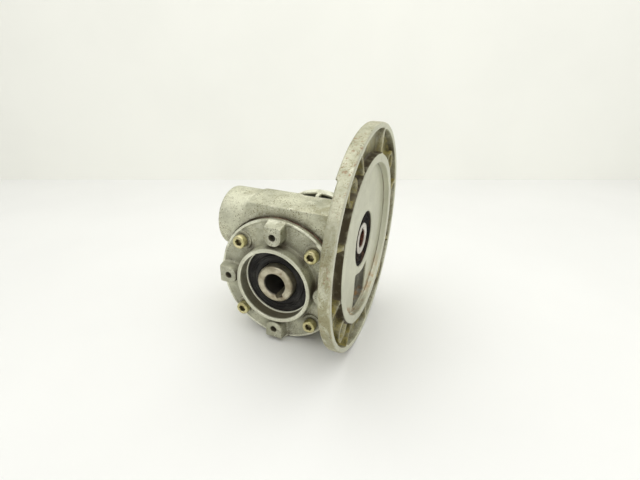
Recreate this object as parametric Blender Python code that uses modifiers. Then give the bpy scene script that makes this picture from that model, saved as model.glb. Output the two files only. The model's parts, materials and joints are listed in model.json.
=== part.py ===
"""Worm gearbox: an aluminium gearcase with an integral motor flange, a worm across the top, a
bronze wheel on a hollow output shaft, a bearing cover in front and a mounting flange behind.

Local frame of every shape: the origin is where the output axis meets the middle plane, +X runs
along the worm towards the motor, +Y along the output axis away from the front cover, +Z up to the
worm axis. Two empties, output_axis and worm_axis, stand on the two axes and carry the parts, so
that the world origin is under the middle of the whole gearbox. Distances are in metres. A distance
"out" is measured from the middle plane along the output axis, to either side.
"""

import math

import bmesh
import bpy
from mathutils import Matrix, Vector

# Gear set: one thread on the worm, thirty teeth on the wheel.
CENTRE_DISTANCE = 0.030
MODULE = 0.00144
WHEEL_TEETH = 30
PRESSURE_ANGLE = math.radians(20)
LEAD = math.pi * MODULE
WHEEL_PITCH_RADIUS = MODULE * WHEEL_TEETH / 2
WORM_PITCH_RADIUS = CENTRE_DISTANCE - WHEEL_PITCH_RADIUS
WORM_TIP_RADIUS = WORM_PITCH_RADIUS + MODULE
WORM_ROOT_RADIUS = WORM_PITCH_RADIUS - 1.2 * MODULE
THREAD_THICKNESS = 0.0020
THREAD_HALF_LENGTH = 0.0145
TOOTH_TIP_CLEARANCE = 0.00035
FLANK_CLEARANCE = 0.00010
WHEEL_HALF_WIDTH = 0.0060
WHEEL_MAX_RADIUS = 0.0242
WHEEL_BORE_RADIUS = 0.0163

# Gearcase.
BODY_RADIUS = 0.0420
BODY_HALF_WIDTH = 0.0198
MAIN_BORE_RADIUS = 0.0305
BOX_HALF_WIDTH = 0.0196
BOX_EDGE_HEIGHT = 0.0485
BOX_CROWN_HEIGHT = 0.0508
BOX_REAR_RADIUS = 0.0214
BOX_END = -0.0232
BOX_END_SLOPE = 0.29
TUBE_RADIUS = 0.0206
TUBE_END = -0.0468
WORM_BORE_RADIUS = 0.0125
WORM_BEARING_RADIUS = 0.0160
SEAT_GAP = 0.0002
NECK_START = 0.0200
NECK_HALF_WIDTH = 0.0165
NECK_BOTTOM = -0.0205
TAPPED_HOLE_DEPTH = 0.0068

# Motor flange, part of the gearcase: 140 mm across, 95 mm pilot, four bolts on a 115 mm circle.
FLANGE_FACE = 0.0519
FLANGE_RADIUS = 0.0700
RIM_THICKNESS = 0.0066
TOP_RIM_THICKNESS = 0.0077
TOP_RIM_HALF_ANGLE = math.radians(46.5)
RIM_WALL = 0.0030
WEB_BACK = 0.0446
PILOT_RADIUS = 0.0475
PILOT_RING_RADIUS = 0.0524
PILOT_DEPTH = 0.0042
CHANNEL_DEPTH = 0.0050
RIB_ANGLES = (20, 79, 118.5, 163, -163, -118.5, -79, -20)
BOLT_ANGLES = (45, 135, 225, 315)
BOLT_CIRCLE_RADIUS = 0.0575
BOLT_HOLE_RADIUS = 0.00475
BOLT_BOSS_RADIUS = 0.0080
INPUT_SEAL_BORE_RADIUS = 0.0177
POCKET_HALF_WIDTH = 0.0133
POCKET_TOP = 0.0100
POCKET_INNER_RADIUS = 0.0227
POCKET_FLOOR = 0.0425

# Front cover and output flange.
PLATE_BACK = 0.0208
PLATE_FACE = 0.0244
BOSS_RADIUS = 0.0257
BOSS_BORE_RADIUS = 0.0232
BOSS_FACE = 0.0324
SCREW_CIRCLE_RADIUS = 0.0348
SCREW_ANGLES = {"top_right": 45, "top_left": 135, "bottom_left": 225, "bottom_right": 315}
PAD_RADIUS = 0.0062
PAD_FACE = 0.0254
LUG_CIRCLE_RADIUS = 0.0330
LUG_HALF_WIDTH = 0.0058
LUG_END = 0.0400
LUG_FACE = 0.0315
LUG_HOLE_RADIUS = 0.0022
NECK_RADIUS = 0.0270
DISC_FRONT = 0.0420
DISC_BACK = 0.0500
DISC_BOLT_CIRCLE_RADIUS = 0.0340
DISC_HOLE_RADIUS = 0.0033
SPIGOT_RADIUS = 0.0302

# Shafts, bearings and seals.
OUTPUT_SHAFT_RADIUS = 0.0125
OUTPUT_SHAFT_END = 0.0294
OUTPUT_BORE_RADIUS = 0.0070
OUTPUT_KEYWAY = {"width": 0.0050, "depth_radius": 0.0093, "angle": math.radians(-66)}
OUTPUT_BEARING_RADIUS = 0.0210
OUTPUT_BEARING = (0.0070, 0.0160)
OUTPUT_SEAL = (0.0187, 0.0244)
OUTPUT_SEAL_RADIUS = 0.0223
SEAL_LIP_SETBACK = 0.0008
WORM_HUB_RADIUS = 0.0100
WORM_HUB_END = 0.0467
WORM_TAIL_RADIUS = 0.0060
WORM_TAIL_END = -0.0405
MOTOR_BORE_RADIUS = 0.0055
MOTOR_KEYWAY = {"width": 0.0040, "depth_radius": 0.0073}
MOTOR_BEARING = (0.0323, 0.0393)
TAIL_BEARING = (-0.0383, -0.0283)
CIRCLIP = (-0.0395, -0.0387)
CLIP_INNER_RADIUS = 0.0057
CIRCLIP_BITE = 0.0007
CLIP_WIDTH = {"shaft": 0.0023, "bore": 0.0041}
CLIP_OPENING = {"shaft": 50, "bore": 24}
SHIM = (0.0162, 0.0167)
SHIM_RADII = (0.0176, 0.0208)
BALL_RADIUS = {"output": 0.0023, "motor": 0.0016, "tail": 0.0026}
INPUT_SEAL = (0.0406, 0.0472)
SHAFT_GAP = 0.0003

# How far a piece of a union runs into its neighbour, or a cutter past the wall.
OVERLAP = 0.0010

# Facets around: large castings, most turned parts, small inner rings, and holes.
CASTING_STEPS = 48
ROUND_STEPS = 32
RING_STEPS = 18
HOLE_STEPS = 8

# Socket cap screw, M5 by 12.
HEAD_RADIUS = 0.00425
HEAD_HEIGHT = 0.0047
SHANK_RADIUS = 0.0025
SHANK_LENGTH = 0.0119
SOCKET_RADIUS = 0.0023
SOCKET_DEPTH = 0.0026
SCREW_HOLE_RADIUS = 0.0027

OUTPUT_AXIS = Vector((-(FLANGE_FACE + TUBE_END) / 2, 0, BODY_RADIUS))
WORM_AXIS = OUTPUT_AXIS + Vector((0, 0, CENTRE_DISTANCE))

MATERIALS = {
    "cast_aluminium": ((0.50, 0.49, 0.43), 0.55, 0.7),
    "zinc_screw": ((0.62, 0.55, 0.28), 0.35, 0.9),
    "shaft_steel": ((0.55, 0.50, 0.40), 0.40, 0.9),
    "bearing_steel": ((0.60, 0.60, 0.60), 0.25, 1.0),
    "bronze": ((0.60, 0.40, 0.18), 0.35, 1.0),
    "seal_rubber": ((0.02, 0.02, 0.022), 0.60, 0.0),
    "gasket": ((0.16, 0.09, 0.06), 0.80, 0.0),
    "spring_steel": ((0.20, 0.20, 0.20), 0.35, 0.9),
}


def material(name):
    """The named material, made the first time it is asked for."""
    if name in bpy.data.materials:
        return bpy.data.materials[name]
    colour, roughness, metallic = MATERIALS[name]
    made = bpy.data.materials.new(name)
    made.use_nodes = True
    shader = made.node_tree.nodes["Principled BSDF"]
    shader.inputs["Base Color"].default_value = (*colour, 1)
    shader.inputs["Roughness"].default_value = roughness
    shader.inputs["Metallic"].default_value = metallic
    return made


def clear_scene():
    for obj in list(bpy.data.objects):
        bpy.data.objects.remove(obj)


def collection(name):
    made = bpy.data.collections.new(name)
    bpy.context.scene.collection.children.link(made)
    return made


def new_object(name, bm):
    """A mesh object in the cutters' collection, from a bmesh that it frees. finish() moves it."""
    bmesh.ops.remove_doubles(bm, verts=bm.verts, dist=1e-7)
    bmesh.ops.recalc_face_normals(bm, faces=bm.faces)
    mesh = bpy.data.meshes.new(name)
    bm.to_mesh(mesh)
    bm.free()
    obj = bpy.data.objects.new(name, mesh)
    TOOLS.objects.link(obj)
    obj.hide_render = True
    obj.display_type = "WIRE"
    return obj


def evaluated(obj):
    """The object again, as the mesh that its modifiers or its curve make."""
    graph = bpy.context.evaluated_depsgraph_get()
    mesh = bpy.data.meshes.new_from_object(obj.evaluated_get(graph))
    name = obj.name
    bpy.data.objects.remove(obj)
    bm = bmesh.new()
    bm.from_mesh(mesh)
    return new_object(name, bm)


def turned(name, profile, axis, steps=ROUND_STEPS):
    """A solid of revolution from (radius, place along the axis) points: a closed ring, or a solid
    where the first and last points lie on the axis."""
    along = "XYZ".index(axis)
    across = 0 if along else 2
    points = []
    for radius, place in profile:
        point = [0.0, 0.0, 0.0]
        point[across] = radius
        point[along] = place
        points.append(point)
    edges = [(i, i + 1) for i in range(len(points) - 1)]
    if profile[0][0] or profile[-1][0]:
        edges.append((len(points) - 1, 0))
    mesh = bpy.data.meshes.new(name)
    mesh.from_pydata(points, edges, [])
    obj = bpy.data.objects.new(name, mesh)
    TOOLS.objects.link(obj)
    screw = obj.modifiers.new("turn", "SCREW")
    screw.axis = axis
    screw.steps = screw.render_steps = steps
    screw.use_merge_vertices = True
    screw.merge_threshold = 1e-6
    return evaluated(obj)


def plate(name, outline, thickness):
    """A flat outline in XY, given as (x, y) points, with its thickness centred on the plane."""
    curve = bpy.data.curves.new(name, "CURVE")
    curve.dimensions = "2D"
    curve.fill_mode = "BOTH"
    curve.extrude = thickness / 2
    spline = curve.splines.new("POLY")
    spline.points.add(len(outline) - 1)
    for point, (x, y) in zip(spline.points, outline):
        point.co = (x, y, 0, 1)
    spline.use_cyclic_u = True
    obj = bpy.data.objects.new(name, curve)
    TOOLS.objects.link(obj)
    return evaluated(obj)


def moved(obj, matrix):
    obj.data.transform(matrix)
    return obj


def arc(centre, radius, start, stop, count):
    """Points on an arc, from angle start to angle stop in degrees, both ends included."""
    points = []
    for i in range(count + 1):
        angle = math.radians(start + (stop - start) * i / count)
        points.append((centre[0] + radius * math.cos(angle), centre[1] + radius * math.sin(angle)))
    return points


def add_rod(bm, start, end, radius, segments=HOLE_STEPS):
    """Add a closed cylinder between two points."""
    start, end = Vector(start), Vector(end)
    turn = (end - start).to_track_quat("Z", "Y").to_matrix().to_4x4()
    bmesh.ops.create_cone(
        bm,
        cap_ends=True,
        segments=segments,
        radius1=radius,
        radius2=radius,
        depth=(end - start).length,
        matrix=Matrix.Translation((start + end) / 2) @ turn,
    )


def add_block(bm, low, high, turn=None):
    """Add a box between two corners, turned about the origin by a matrix if one is given."""
    low, high = Vector(low), Vector(high)
    place = Matrix.Translation((low + high) / 2) @ Matrix.Diagonal((*(high - low), 1))
    bmesh.ops.create_cube(bm, size=1, matrix=(turn or Matrix()) @ place)


def rod(name, start, end, radius, segments=ROUND_STEPS):
    bm = bmesh.new()
    add_rod(bm, start, end, radius, segments)
    return new_object(name, bm)


def block(name, low, high, turn=None):
    bm = bmesh.new()
    add_block(bm, low, high, turn)
    return new_object(name, bm)


def combine(target, operation, *tools):
    """Boolean the tools into the target, one after another. All are still in the local frame."""
    for tool in tools:
        boolean = target.modifiers.new(tool.name, "BOOLEAN")
        boolean.operation = operation
        boolean.object = tool
    return target


def finish(obj, slot, axis_empty, offset=(0, 0, 0)):
    """Make the object a part: its Booleans made real, its material, and its place on an axis."""
    if obj.modifiers:
        obj = evaluated(obj)
    TOOLS.objects.unlink(obj)
    PARTS.objects.link(obj)
    obj.hide_render = False
    obj.display_type = "TEXTURED"
    obj.data.materials.clear()
    obj.data.materials.append(material(slot))
    obj.data.shade_smooth()
    obj.data.set_sharp_from_angle(angle=math.radians(35))
    obj.parent = axis_empty
    obj.location = offset


def on_circle(radius, degrees, out):
    """A point on a circle about the output axis, seen from the front with +X to the right."""
    angle = math.radians(degrees)
    return Vector((radius * math.cos(angle), out, radius * math.sin(angle)))


def flange_point(radius, degrees, place):
    """A point on a circle about the worm axis, in the gearcase's frame. At 90 degrees it is on top."""
    angle = math.radians(degrees)
    return Vector(
        (place, radius * math.cos(angle), CENTRE_DISTANCE + radius * math.sin(angle))
    )


UP_TO_WORM = Matrix.Translation((0, 0, CENTRE_DISTANCE))


# ---------------------------------------------------------------- gearcase


def flange_profile():
    """Half section of the motor flange: bell neck, web, rim, channel, pilot ring, recess floor."""
    bell_start, bell_radius, bell_end_radius = 0.027, 0.0190, 0.0500
    profile = [(0, bell_start)]
    for i in range(5):
        turn = math.radians(90 * i / 4)
        profile.append(
            (
                bell_radius + (bell_end_radius - bell_radius) * (1 - math.cos(turn)),
                bell_start + (WEB_BACK - bell_start) * math.sin(turn),
            )
        )
    rim_back = FLANGE_FACE - RIM_THICKNESS
    channel_floor = FLANGE_FACE - CHANNEL_DEPTH
    recess_floor = FLANGE_FACE - PILOT_DEPTH
    rim_inside = FLANGE_RADIUS - RIM_WALL
    bevel = 0.0006
    profile += [
        (rim_inside - 0.002, WEB_BACK),
        (rim_inside - 0.001, rim_back),
        (FLANGE_RADIUS - bevel, rim_back),
        (FLANGE_RADIUS, rim_back + bevel),
        (FLANGE_RADIUS, FLANGE_FACE - bevel),
        (FLANGE_RADIUS - bevel, FLANGE_FACE),
        (rim_inside, FLANGE_FACE),
        (rim_inside - 0.0004, channel_floor),
        (PILOT_RING_RADIUS + 0.0004, channel_floor),
        (PILOT_RING_RADIUS, FLANGE_FACE),
        (PILOT_RADIUS + bevel, FLANGE_FACE),
        (PILOT_RADIUS, FLANGE_FACE - bevel),
        (PILOT_RADIUS, recess_floor),
        (0, recess_floor),
    ]
    return profile


def top_rim():
    """The upper part of the rim is thicker, and ends in a step on each side."""
    back = FLANGE_FACE - TOP_RIM_THICKNESS
    front = FLANGE_FACE - RIM_THICKNESS + OVERLAP
    inner, outer = FLANGE_RADIUS - RIM_WALL, FLANGE_RADIUS - 0.00005
    ring = turned("top_rim", [(inner, back), (outer, back), (outer, front), (inner, front)], "X", CASTING_STEPS)
    moved(ring, UP_TO_WORM)
    step_height = CENTRE_DISTANCE + FLANGE_RADIUS * math.cos(TOP_RIM_HALF_ANGLE)
    below = block("top_rim_below", (0, -0.1, -0.1), (0.1, 0.1, step_height))
    return evaluated(combine(ring, "DIFFERENCE", below))


def gearcase_box():
    """Box section around the worm: flat in front, a crowned top that rounds off behind the worm
    axis, and a slanted left end."""
    count = 3
    outline = [(-BOX_HALF_WIDTH, 0.0)]
    for i in range(count):
        across = -BOX_HALF_WIDTH * (1 - i / count)
        drop = (BOX_CROWN_HEIGHT - BOX_EDGE_HEIGHT) * (across / BOX_HALF_WIDTH) ** 2
        outline.append((across, BOX_CROWN_HEIGHT - drop))
    round_centre = (0.0, BOX_CROWN_HEIGHT - BOX_REAR_RADIUS)
    last_angle = math.degrees(math.acos(BOX_HALF_WIDTH / BOX_REAR_RADIUS))
    outline += arc(round_centre, BOX_REAR_RADIUS, 90, last_angle, 2 * count)
    outline.append((BOX_HALF_WIDTH, 0.0))
    bm = bmesh.new()
    left, right = [], []
    for across, height in outline:
        end = BOX_END - BOX_END_SLOPE * (BOX_CROWN_HEIGHT - height)
        left.append(bm.verts.new((end, across, height)))
        right.append(bm.verts.new((WEB_BACK + OVERLAP, across, height)))
    bm.faces.new(left)
    bm.faces.new(right)
    for i in range(len(outline)):
        j = (i + 1) % len(outline)
        bm.faces.new((left[i], left[j], right[j], right[i]))
    return new_object("gearcase_box", bm)


def gearcase_tube():
    """The worm tube, with a rounded outer edge at its closed end."""
    edge = 0.0015
    profile = [(0, TUBE_END), (TUBE_RADIUS - edge, TUBE_END)]
    for radius, place in arc((TUBE_RADIUS - edge, TUBE_END + edge), edge, -45, 0, 1):
        profile.append((radius, place))
    profile += [(TUBE_RADIUS, 0.0), (0, 0.0)]
    return moved(turned("gearcase_tube", profile, "X"), UP_TO_WORM)


def flange_ribs():
    """Ribs and bolt bosses that stand in the channel of the motor flange."""
    bm = bmesh.new()
    floor = FLANGE_FACE - CHANNEL_DEPTH - 0.0006
    for degrees in RIB_ANGLES:
        turn = UP_TO_WORM @ Matrix.Rotation(math.radians(degrees), 4, "X")
        low = (floor, PILOT_RING_RADIUS - OVERLAP, -0.0012)
        high = (FLANGE_FACE - 0.0008, FLANGE_RADIUS - RIM_WALL + OVERLAP, 0.0012)
        add_block(bm, low, high, turn)
    for degrees in BOLT_ANGLES:
        start = flange_point(BOLT_CIRCLE_RADIUS, degrees, floor)
        end = flange_point(BOLT_CIRCLE_RADIUS, degrees, FLANGE_FACE - 0.0004)
        add_rod(bm, start, end, BOLT_BOSS_RADIUS, 12)
    return new_object("flange_ribs", bm)


def flange_pocket():
    """The cast pocket in the recess floor, below the lip around the input seal."""
    front = FLANGE_FACE - PILOT_DEPTH + OVERLAP
    ring_profile = [
        (POCKET_INNER_RADIUS, POCKET_FLOOR),
        (PILOT_RADIUS - 0.0004, POCKET_FLOOR),
        (PILOT_RADIUS - 0.0004, front),
        (POCKET_INNER_RADIUS, front),
    ]
    ring = moved(turned("flange_pocket", ring_profile, "X"), UP_TO_WORM)
    low = (POCKET_FLOOR - 0.01, -POCKET_HALF_WIDTH, -0.03)
    window = block("pocket_window", low, (front + 0.01, POCKET_HALF_WIDTH, POCKET_TOP))
    return evaluated(combine(ring, "INTERSECT", window))


def worm_line_bore():
    """Everything that is bored on the worm axis, as one stepped cutter."""
    seat = WORM_BEARING_RADIUS + SEAT_GAP
    groove = WORM_BEARING_RADIUS + 0.0010
    profile = [
        (0, TUBE_END - 0.01),
        (seat, TUBE_END - 0.01),
        (seat, CIRCLIP[0] - SEAT_GAP),
        (groove, CIRCLIP[0] - SEAT_GAP),
        (groove, CIRCLIP[1] + SEAT_GAP),
        (seat, CIRCLIP[1] + SEAT_GAP),
        (seat, TAIL_BEARING[1] + SEAT_GAP),
        (WORM_BORE_RADIUS, TAIL_BEARING[1] + SEAT_GAP),
        (WORM_BORE_RADIUS, MOTOR_BEARING[0] - SEAT_GAP),
        (seat, MOTOR_BEARING[0] - SEAT_GAP),
        (seat, INPUT_SEAL[0] - SEAT_GAP),
        (INPUT_SEAL_BORE_RADIUS, INPUT_SEAL[0] - SEAT_GAP),
        (INPUT_SEAL_BORE_RADIUS, FLANGE_FACE),
        (0, FLANGE_FACE),
    ]
    return moved(turned("worm_line_bore", profile, "X"), UP_TO_WORM)


def screw_holes(name, start_out, end_out, radius, sides=(-1, 1)):
    """Holes on the cover screws' circle, on the sides of the middle plane that are asked for."""
    bm = bmesh.new()
    for side in sides:
        for degrees in SCREW_ANGLES.values():
            start = on_circle(SCREW_CIRCLE_RADIUS, degrees, side * start_out)
            end = on_circle(SCREW_CIRCLE_RADIUS, degrees, side * end_out)
            add_rod(bm, start, end, radius)
    return new_object(name, bm)


def bolt_holes():
    bm = bmesh.new()
    for degrees in BOLT_ANGLES:
        start = flange_point(BOLT_CIRCLE_RADIUS, degrees, WEB_BACK - 0.004)
        end = flange_point(BOLT_CIRCLE_RADIUS, degrees, FLANGE_FACE + 0.004)
        add_rod(bm, start, end, BOLT_HOLE_RADIUS, 12)
    return new_object("bolt_holes", bm)


def cover_clearance():
    """Room for the round plates in front and behind, where the bell neck would meet them."""
    bm = bmesh.new()
    for side in (-1, 1):
        start = (0, side * (BODY_HALF_WIDTH + 0.0001), 0)
        add_rod(bm, start, (0, side * 0.060, 0), BODY_RADIUS + 0.0006, CASTING_STEPS)
    return new_object("cover_clearance", bm)


def gearcase(axis):
    case = turned("gearcase", flange_profile(), "X", CASTING_STEPS)
    moved(case, UP_TO_WORM)
    ends = (0, -BODY_HALF_WIDTH, 0), (0, BODY_HALF_WIDTH, 0)
    body = rod("body", *ends, BODY_RADIUS, CASTING_STEPS)
    neck_low = (NECK_START, -NECK_HALF_WIDTH, NECK_BOTTOM)
    neck = block("neck", neck_low, (WEB_BACK + OVERLAP, NECK_HALF_WIDTH, CENTRE_DISTANCE))
    ribs = flange_ribs()
    combine(case, "UNION", body, neck, gearcase_box(), gearcase_tube(), top_rim(), ribs)
    main_bore = rod("main_bore", (0, -PLATE_FACE, 0), (0, PLATE_FACE, 0), MAIN_BORE_RADIUS)
    hole_floor = BODY_HALF_WIDTH - TAPPED_HOLE_DEPTH
    tapped = screw_holes("tapped_holes", hole_floor, PLATE_FACE, SCREW_HOLE_RADIUS)
    cutters = (flange_pocket(), cover_clearance(), bolt_holes(), tapped, main_bore, worm_line_bore())
    combine(case, "DIFFERENCE", *cutters)
    finish(case, "cast_aluminium", axis)


# ---------------------------------------------------------------- front cover and output flange


def inner_profile():
    """Inner part of a bearing cover's section, from the seal's seat in to the plate's back."""
    seal_seat = OUTPUT_SEAL_RADIUS + SHAFT_GAP
    seal_back, mouth = OUTPUT_SEAL[0] - SHAFT_GAP, OUTPUT_SEAL[1] + SHAFT_GAP
    bearing_seat, bearing_back = OUTPUT_BEARING_RADIUS + SHAFT_GAP, OUTPUT_BEARING[1] + 0.0010
    shoulder = 0.0195
    collar_radius, collar_end, spigot_end = 0.0250, 0.0105, 0.0140
    return [
        (BOSS_BORE_RADIUS, mouth),
        (seal_seat, mouth),
        (seal_seat, seal_back),
        (shoulder, seal_back),
        (shoulder, bearing_back),
        (bearing_seat, bearing_back),
        (bearing_seat, collar_end),
        (collar_radius, collar_end),
        (collar_radius, spigot_end),
        (SPIGOT_RADIUS, spigot_end),
        (SPIGOT_RADIUS, PLATE_BACK),
        (BODY_RADIUS, PLATE_BACK),
        (BODY_RADIUS, PLATE_FACE),
    ]


def screw_pads(side):
    bm = bmesh.new()
    for degrees in SCREW_ANGLES.values():
        start = on_circle(SCREW_CIRCLE_RADIUS, degrees, side * (PLATE_FACE - OVERLAP))
        end = on_circle(SCREW_CIRCLE_RADIUS, degrees, side * PAD_FACE)
        add_rod(bm, start, end, PAD_RADIUS, 14)
    return new_object("screw_pads", bm)


def mirrored(profile, side):
    return [(radius, side * out) for radius, out in profile]


def lugs():
    """Four lugs, round towards the boss and square at the outer end."""
    outline = arc((LUG_CIRCLE_RADIUS, 0), LUG_HALF_WIDTH, 90, 270, 6)
    outline += [(LUG_END, -LUG_HALF_WIDTH), (LUG_END, LUG_HALF_WIDTH)]
    root = PLATE_FACE - OVERLAP
    made = []
    for degrees in (0, 90, 180, 270):
        lug = plate("lug", outline, LUG_FACE - root)
        stand = Matrix.Translation((0, -(LUG_FACE + root) / 2, 0)) @ Matrix.Rotation(
            math.radians(90), 4, "X"
        )
        made.append(moved(lug, stand @ Matrix.Rotation(math.radians(degrees), 4, "Z")))
    return made


def lug_holes():
    bm = bmesh.new()
    for degrees in (0, 90, 180, 270):
        start = on_circle(LUG_CIRCLE_RADIUS, degrees, -0.0225)
        add_rod(bm, start, on_circle(LUG_CIRCLE_RADIUS, degrees, -0.034), LUG_HOLE_RADIUS)
    return new_object("lug_holes", bm)


def front_cover(axis):
    profile = inner_profile() + [
        (BOSS_RADIUS + 0.0003, PLATE_FACE),
        (BOSS_RADIUS, BOSS_FACE),
        (BOSS_BORE_RADIUS, BOSS_FACE),
    ]
    cover = turned("front_cover", mirrored(profile, -1), "Y")
    combine(cover, "UNION", screw_pads(-1), *lugs())
    holes = screw_holes("cover_holes", 0.019, 0.028, SCREW_HOLE_RADIUS, (-1,))
    combine(cover, "DIFFERENCE", holes, lug_holes())
    finish(cover, "cast_aluminium", axis)


def disc_ribs():
    """Four ribs between the neck and the disc's rim."""
    bm = bmesh.new()
    half = 0.0020
    for degrees in (0, 90, 180, 270):
        turn = Matrix.Rotation(math.radians(degrees), 4, "Y")
        low, high = (NECK_RADIUS - OVERLAP, PLATE_FACE - OVERLAP, -half), (0.0395, DISC_FRONT + 0.003, half)
        add_block(bm, low, high, turn)
    return new_object("disc_ribs", bm)


def disc_holes():
    bm = bmesh.new()
    for degrees in SCREW_ANGLES.values():
        start = on_circle(DISC_BOLT_CIRCLE_RADIUS, degrees, DISC_FRONT - 0.002)
        end = on_circle(DISC_BOLT_CIRCLE_RADIUS, degrees, DISC_BACK + 0.002)
        add_rod(bm, start, end, DISC_HOLE_RADIUS)
    return new_object("disc_holes", bm)


def output_flange(axis):
    rim_inside = BODY_RADIUS - 0.0032
    web_front = DISC_FRONT + 0.0025
    profile = inner_profile() + [
        (NECK_RADIUS + 0.0008, PLATE_FACE),
        (NECK_RADIUS, PLATE_FACE + 0.0015),
        (NECK_RADIUS, web_front),
        (rim_inside, web_front),
        (rim_inside, DISC_FRONT),
        (BODY_RADIUS, DISC_FRONT),
        (BODY_RADIUS, DISC_BACK),
        (0.0250, DISC_BACK),
        (0.0250, DISC_BACK - 0.003),
        (BOSS_BORE_RADIUS, DISC_BACK - 0.003),
    ]
    flange = turned("output_flange", profile, "Y")
    combine(flange, "UNION", screw_pads(1), disc_ribs())
    holes = screw_holes("flange_holes", 0.019, 0.028, SCREW_HOLE_RADIUS, (1,))
    combine(flange, "DIFFERENCE", holes, disc_holes())
    finish(flange, "cast_aluminium", axis)


def gasket(name, side, axis):
    inner, outer = MAIN_BORE_RADIUS + 0.0003, BODY_RADIUS - 0.0004
    low, high = BODY_HALF_WIDTH + 0.0003, PLATE_BACK - 0.0002
    profile = [(inner, low), (outer, low), (outer, high), (inner, high)]
    ring = turned(name, mirrored(profile, side), "Y")
    combine(ring, "DIFFERENCE", screw_holes("gasket_holes", 0.018, 0.023, SCREW_HOLE_RADIUS, (side,)))
    finish(ring, "gasket", axis)


def cap_screw(name, side, degrees, axis):
    """A socket cap screw with its head outwards, standing on its pad."""
    seat = PAD_FACE + SHAFT_GAP
    top = seat + HEAD_HEIGHT
    profile = [
        (0, seat - SHANK_LENGTH),
        (SHANK_RADIUS, seat - SHANK_LENGTH),
        (SHANK_RADIUS, seat),
        (HEAD_RADIUS, seat),
        (HEAD_RADIUS, top),
        (0, top),
    ]
    screw = turned(name, mirrored(profile, side), "Y", 12)
    start, end = (0, side * (top - SOCKET_DEPTH), 0), (0, side * (top + 0.001), 0)
    combine(screw, "DIFFERENCE", rod("socket", start, end, SOCKET_RADIUS, 6))
    finish(screw, "zinc_screw", axis, on_circle(SCREW_CIRCLE_RADIUS, degrees, 0))


# ---------------------------------------------------------------- shafts and gears


def keyway(name, size, start, end, turn):
    """A cutter for a keyway in a bore along X, up from the axis, turned into place by a matrix."""
    half = size["width"] / 2
    return block(name, (start, -half, 0), (end, half, size["depth_radius"]), turn)


def output_shaft(axis):
    hub, shoulder = WHEEL_BORE_RADIUS - SHAFT_GAP, 0.0148
    half = [
        (OUTPUT_BORE_RADIUS, OUTPUT_SHAFT_END),
        (OUTPUT_SHAFT_RADIUS, OUTPUT_SHAFT_END),
        (OUTPUT_SHAFT_RADIUS, OUTPUT_BEARING[0] - SHAFT_GAP),
        (shoulder, OUTPUT_BEARING[0] - SHAFT_GAP),
        (shoulder, WHEEL_HALF_WIDTH),
        (hub, WHEEL_HALF_WIDTH),
    ]
    shaft = turned("output_shaft", half + mirrored(reversed(half), -1), "Y")
    # The cutter runs along X with its open side up: stand it along Y, then turn it about Y.
    turn = Matrix.Rotation(math.pi / 2 - OUTPUT_KEYWAY["angle"], 4, "Y") @ Matrix.Rotation(
        math.pi / 2, 4, "Z"
    )
    combine(shaft, "DIFFERENCE", keyway("output_keyway", OUTPUT_KEYWAY, -0.04, 0.04, turn))
    finish(shaft, "shaft_steel", axis)


def thread_thickness(radius):
    """Axial thickness of the worm's thread at a radius."""
    return THREAD_THICKNESS - 2 * (radius - WORM_PITCH_RADIUS) * math.tan(PRESSURE_ANGLE)


def space_angles(wheel_radius, out):
    """Angles on the wheel, at one radius and distance out, between which the worm's thread sweeps
    as the pair turns. Zero is the thread's own centre at rest."""
    low, high = math.inf, -math.inf
    steps, reach = 120, 0.6
    for i in range(-steps, steps + 1):
        angle = reach * i / steps
        along = wheel_radius * math.sin(angle)
        below = CENTRE_DISTANCE - wheel_radius * math.cos(angle)
        radius = math.hypot(out, below)
        if radius > WORM_TIP_RADIUS + 2 * TOOTH_TIP_CLEARANCE:
            continue
        shift = LEAD / (2 * math.pi) * math.atan2(out, below)
        half = thread_thickness(radius) / 2
        high = max(high, angle - (along - half - shift) / WHEEL_PITCH_RADIUS)
        low = min(low, angle - (along + half - shift) / WHEEL_PITCH_RADIUS)
    clearance = FLANK_CLEARANCE / WHEEL_PITCH_RADIUS
    return low - clearance, high + clearance


def wheel_section(out):
    """One cross-section of the toothed ring: (radius, angle) of its tooth outline."""
    root = CENTRE_DISTANCE - TOOTH_TIP_CLEARANCE - math.sqrt(WORM_TIP_RADIUS**2 - out**2)
    hollow = math.sqrt(max(WORM_ROOT_RADIUS**2 - out**2, 0))
    tip = min(CENTRE_DISTANCE - TOOTH_TIP_CLEARANCE - hollow, WHEEL_MAX_RADIUS)
    root_low, root_high = space_angles(root, out)
    tip_low, tip_high = space_angles(tip, out)
    section = []
    for tooth in range(WHEEL_TEETH):
        turn = 2 * math.pi * tooth / WHEEL_TEETH
        section.append((tip, turn + tip_low))
        section.append((root, turn + root_low))
        section.append((root, turn + root_high))
        section.append((tip, turn + tip_high))
    return section


def worm_wheel(axis):
    """Bronze ring with throated teeth, lofted through sections across its width."""
    intervals = 4
    bm = bmesh.new()
    rings = []
    for i in range(intervals + 1):
        out = WHEEL_HALF_WIDTH * (2 * i / intervals - 1)
        section = wheel_section(out)
        rings.append(
            [bm.verts.new((r * math.sin(a), out, r * math.cos(a))) for r, a in section]
        )
    count = len(rings[0])
    for out in (WHEEL_HALF_WIDTH, -WHEEL_HALF_WIDTH):
        bore = [(WHEEL_BORE_RADIUS, 2 * math.pi * (i - 1.5) / count) for i in range(count)]
        rings.append([bm.verts.new((r * math.sin(a), out, r * math.cos(a))) for r, a in bore])
    for one, other in zip(rings, rings[1:] + rings[:1]):
        for i in range(count):
            j = (i + 1) % count
            bm.faces.new((one[i], one[j], other[j], other[i]))
    finish(new_object("worm_wheel", bm), "bronze", axis)


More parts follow.
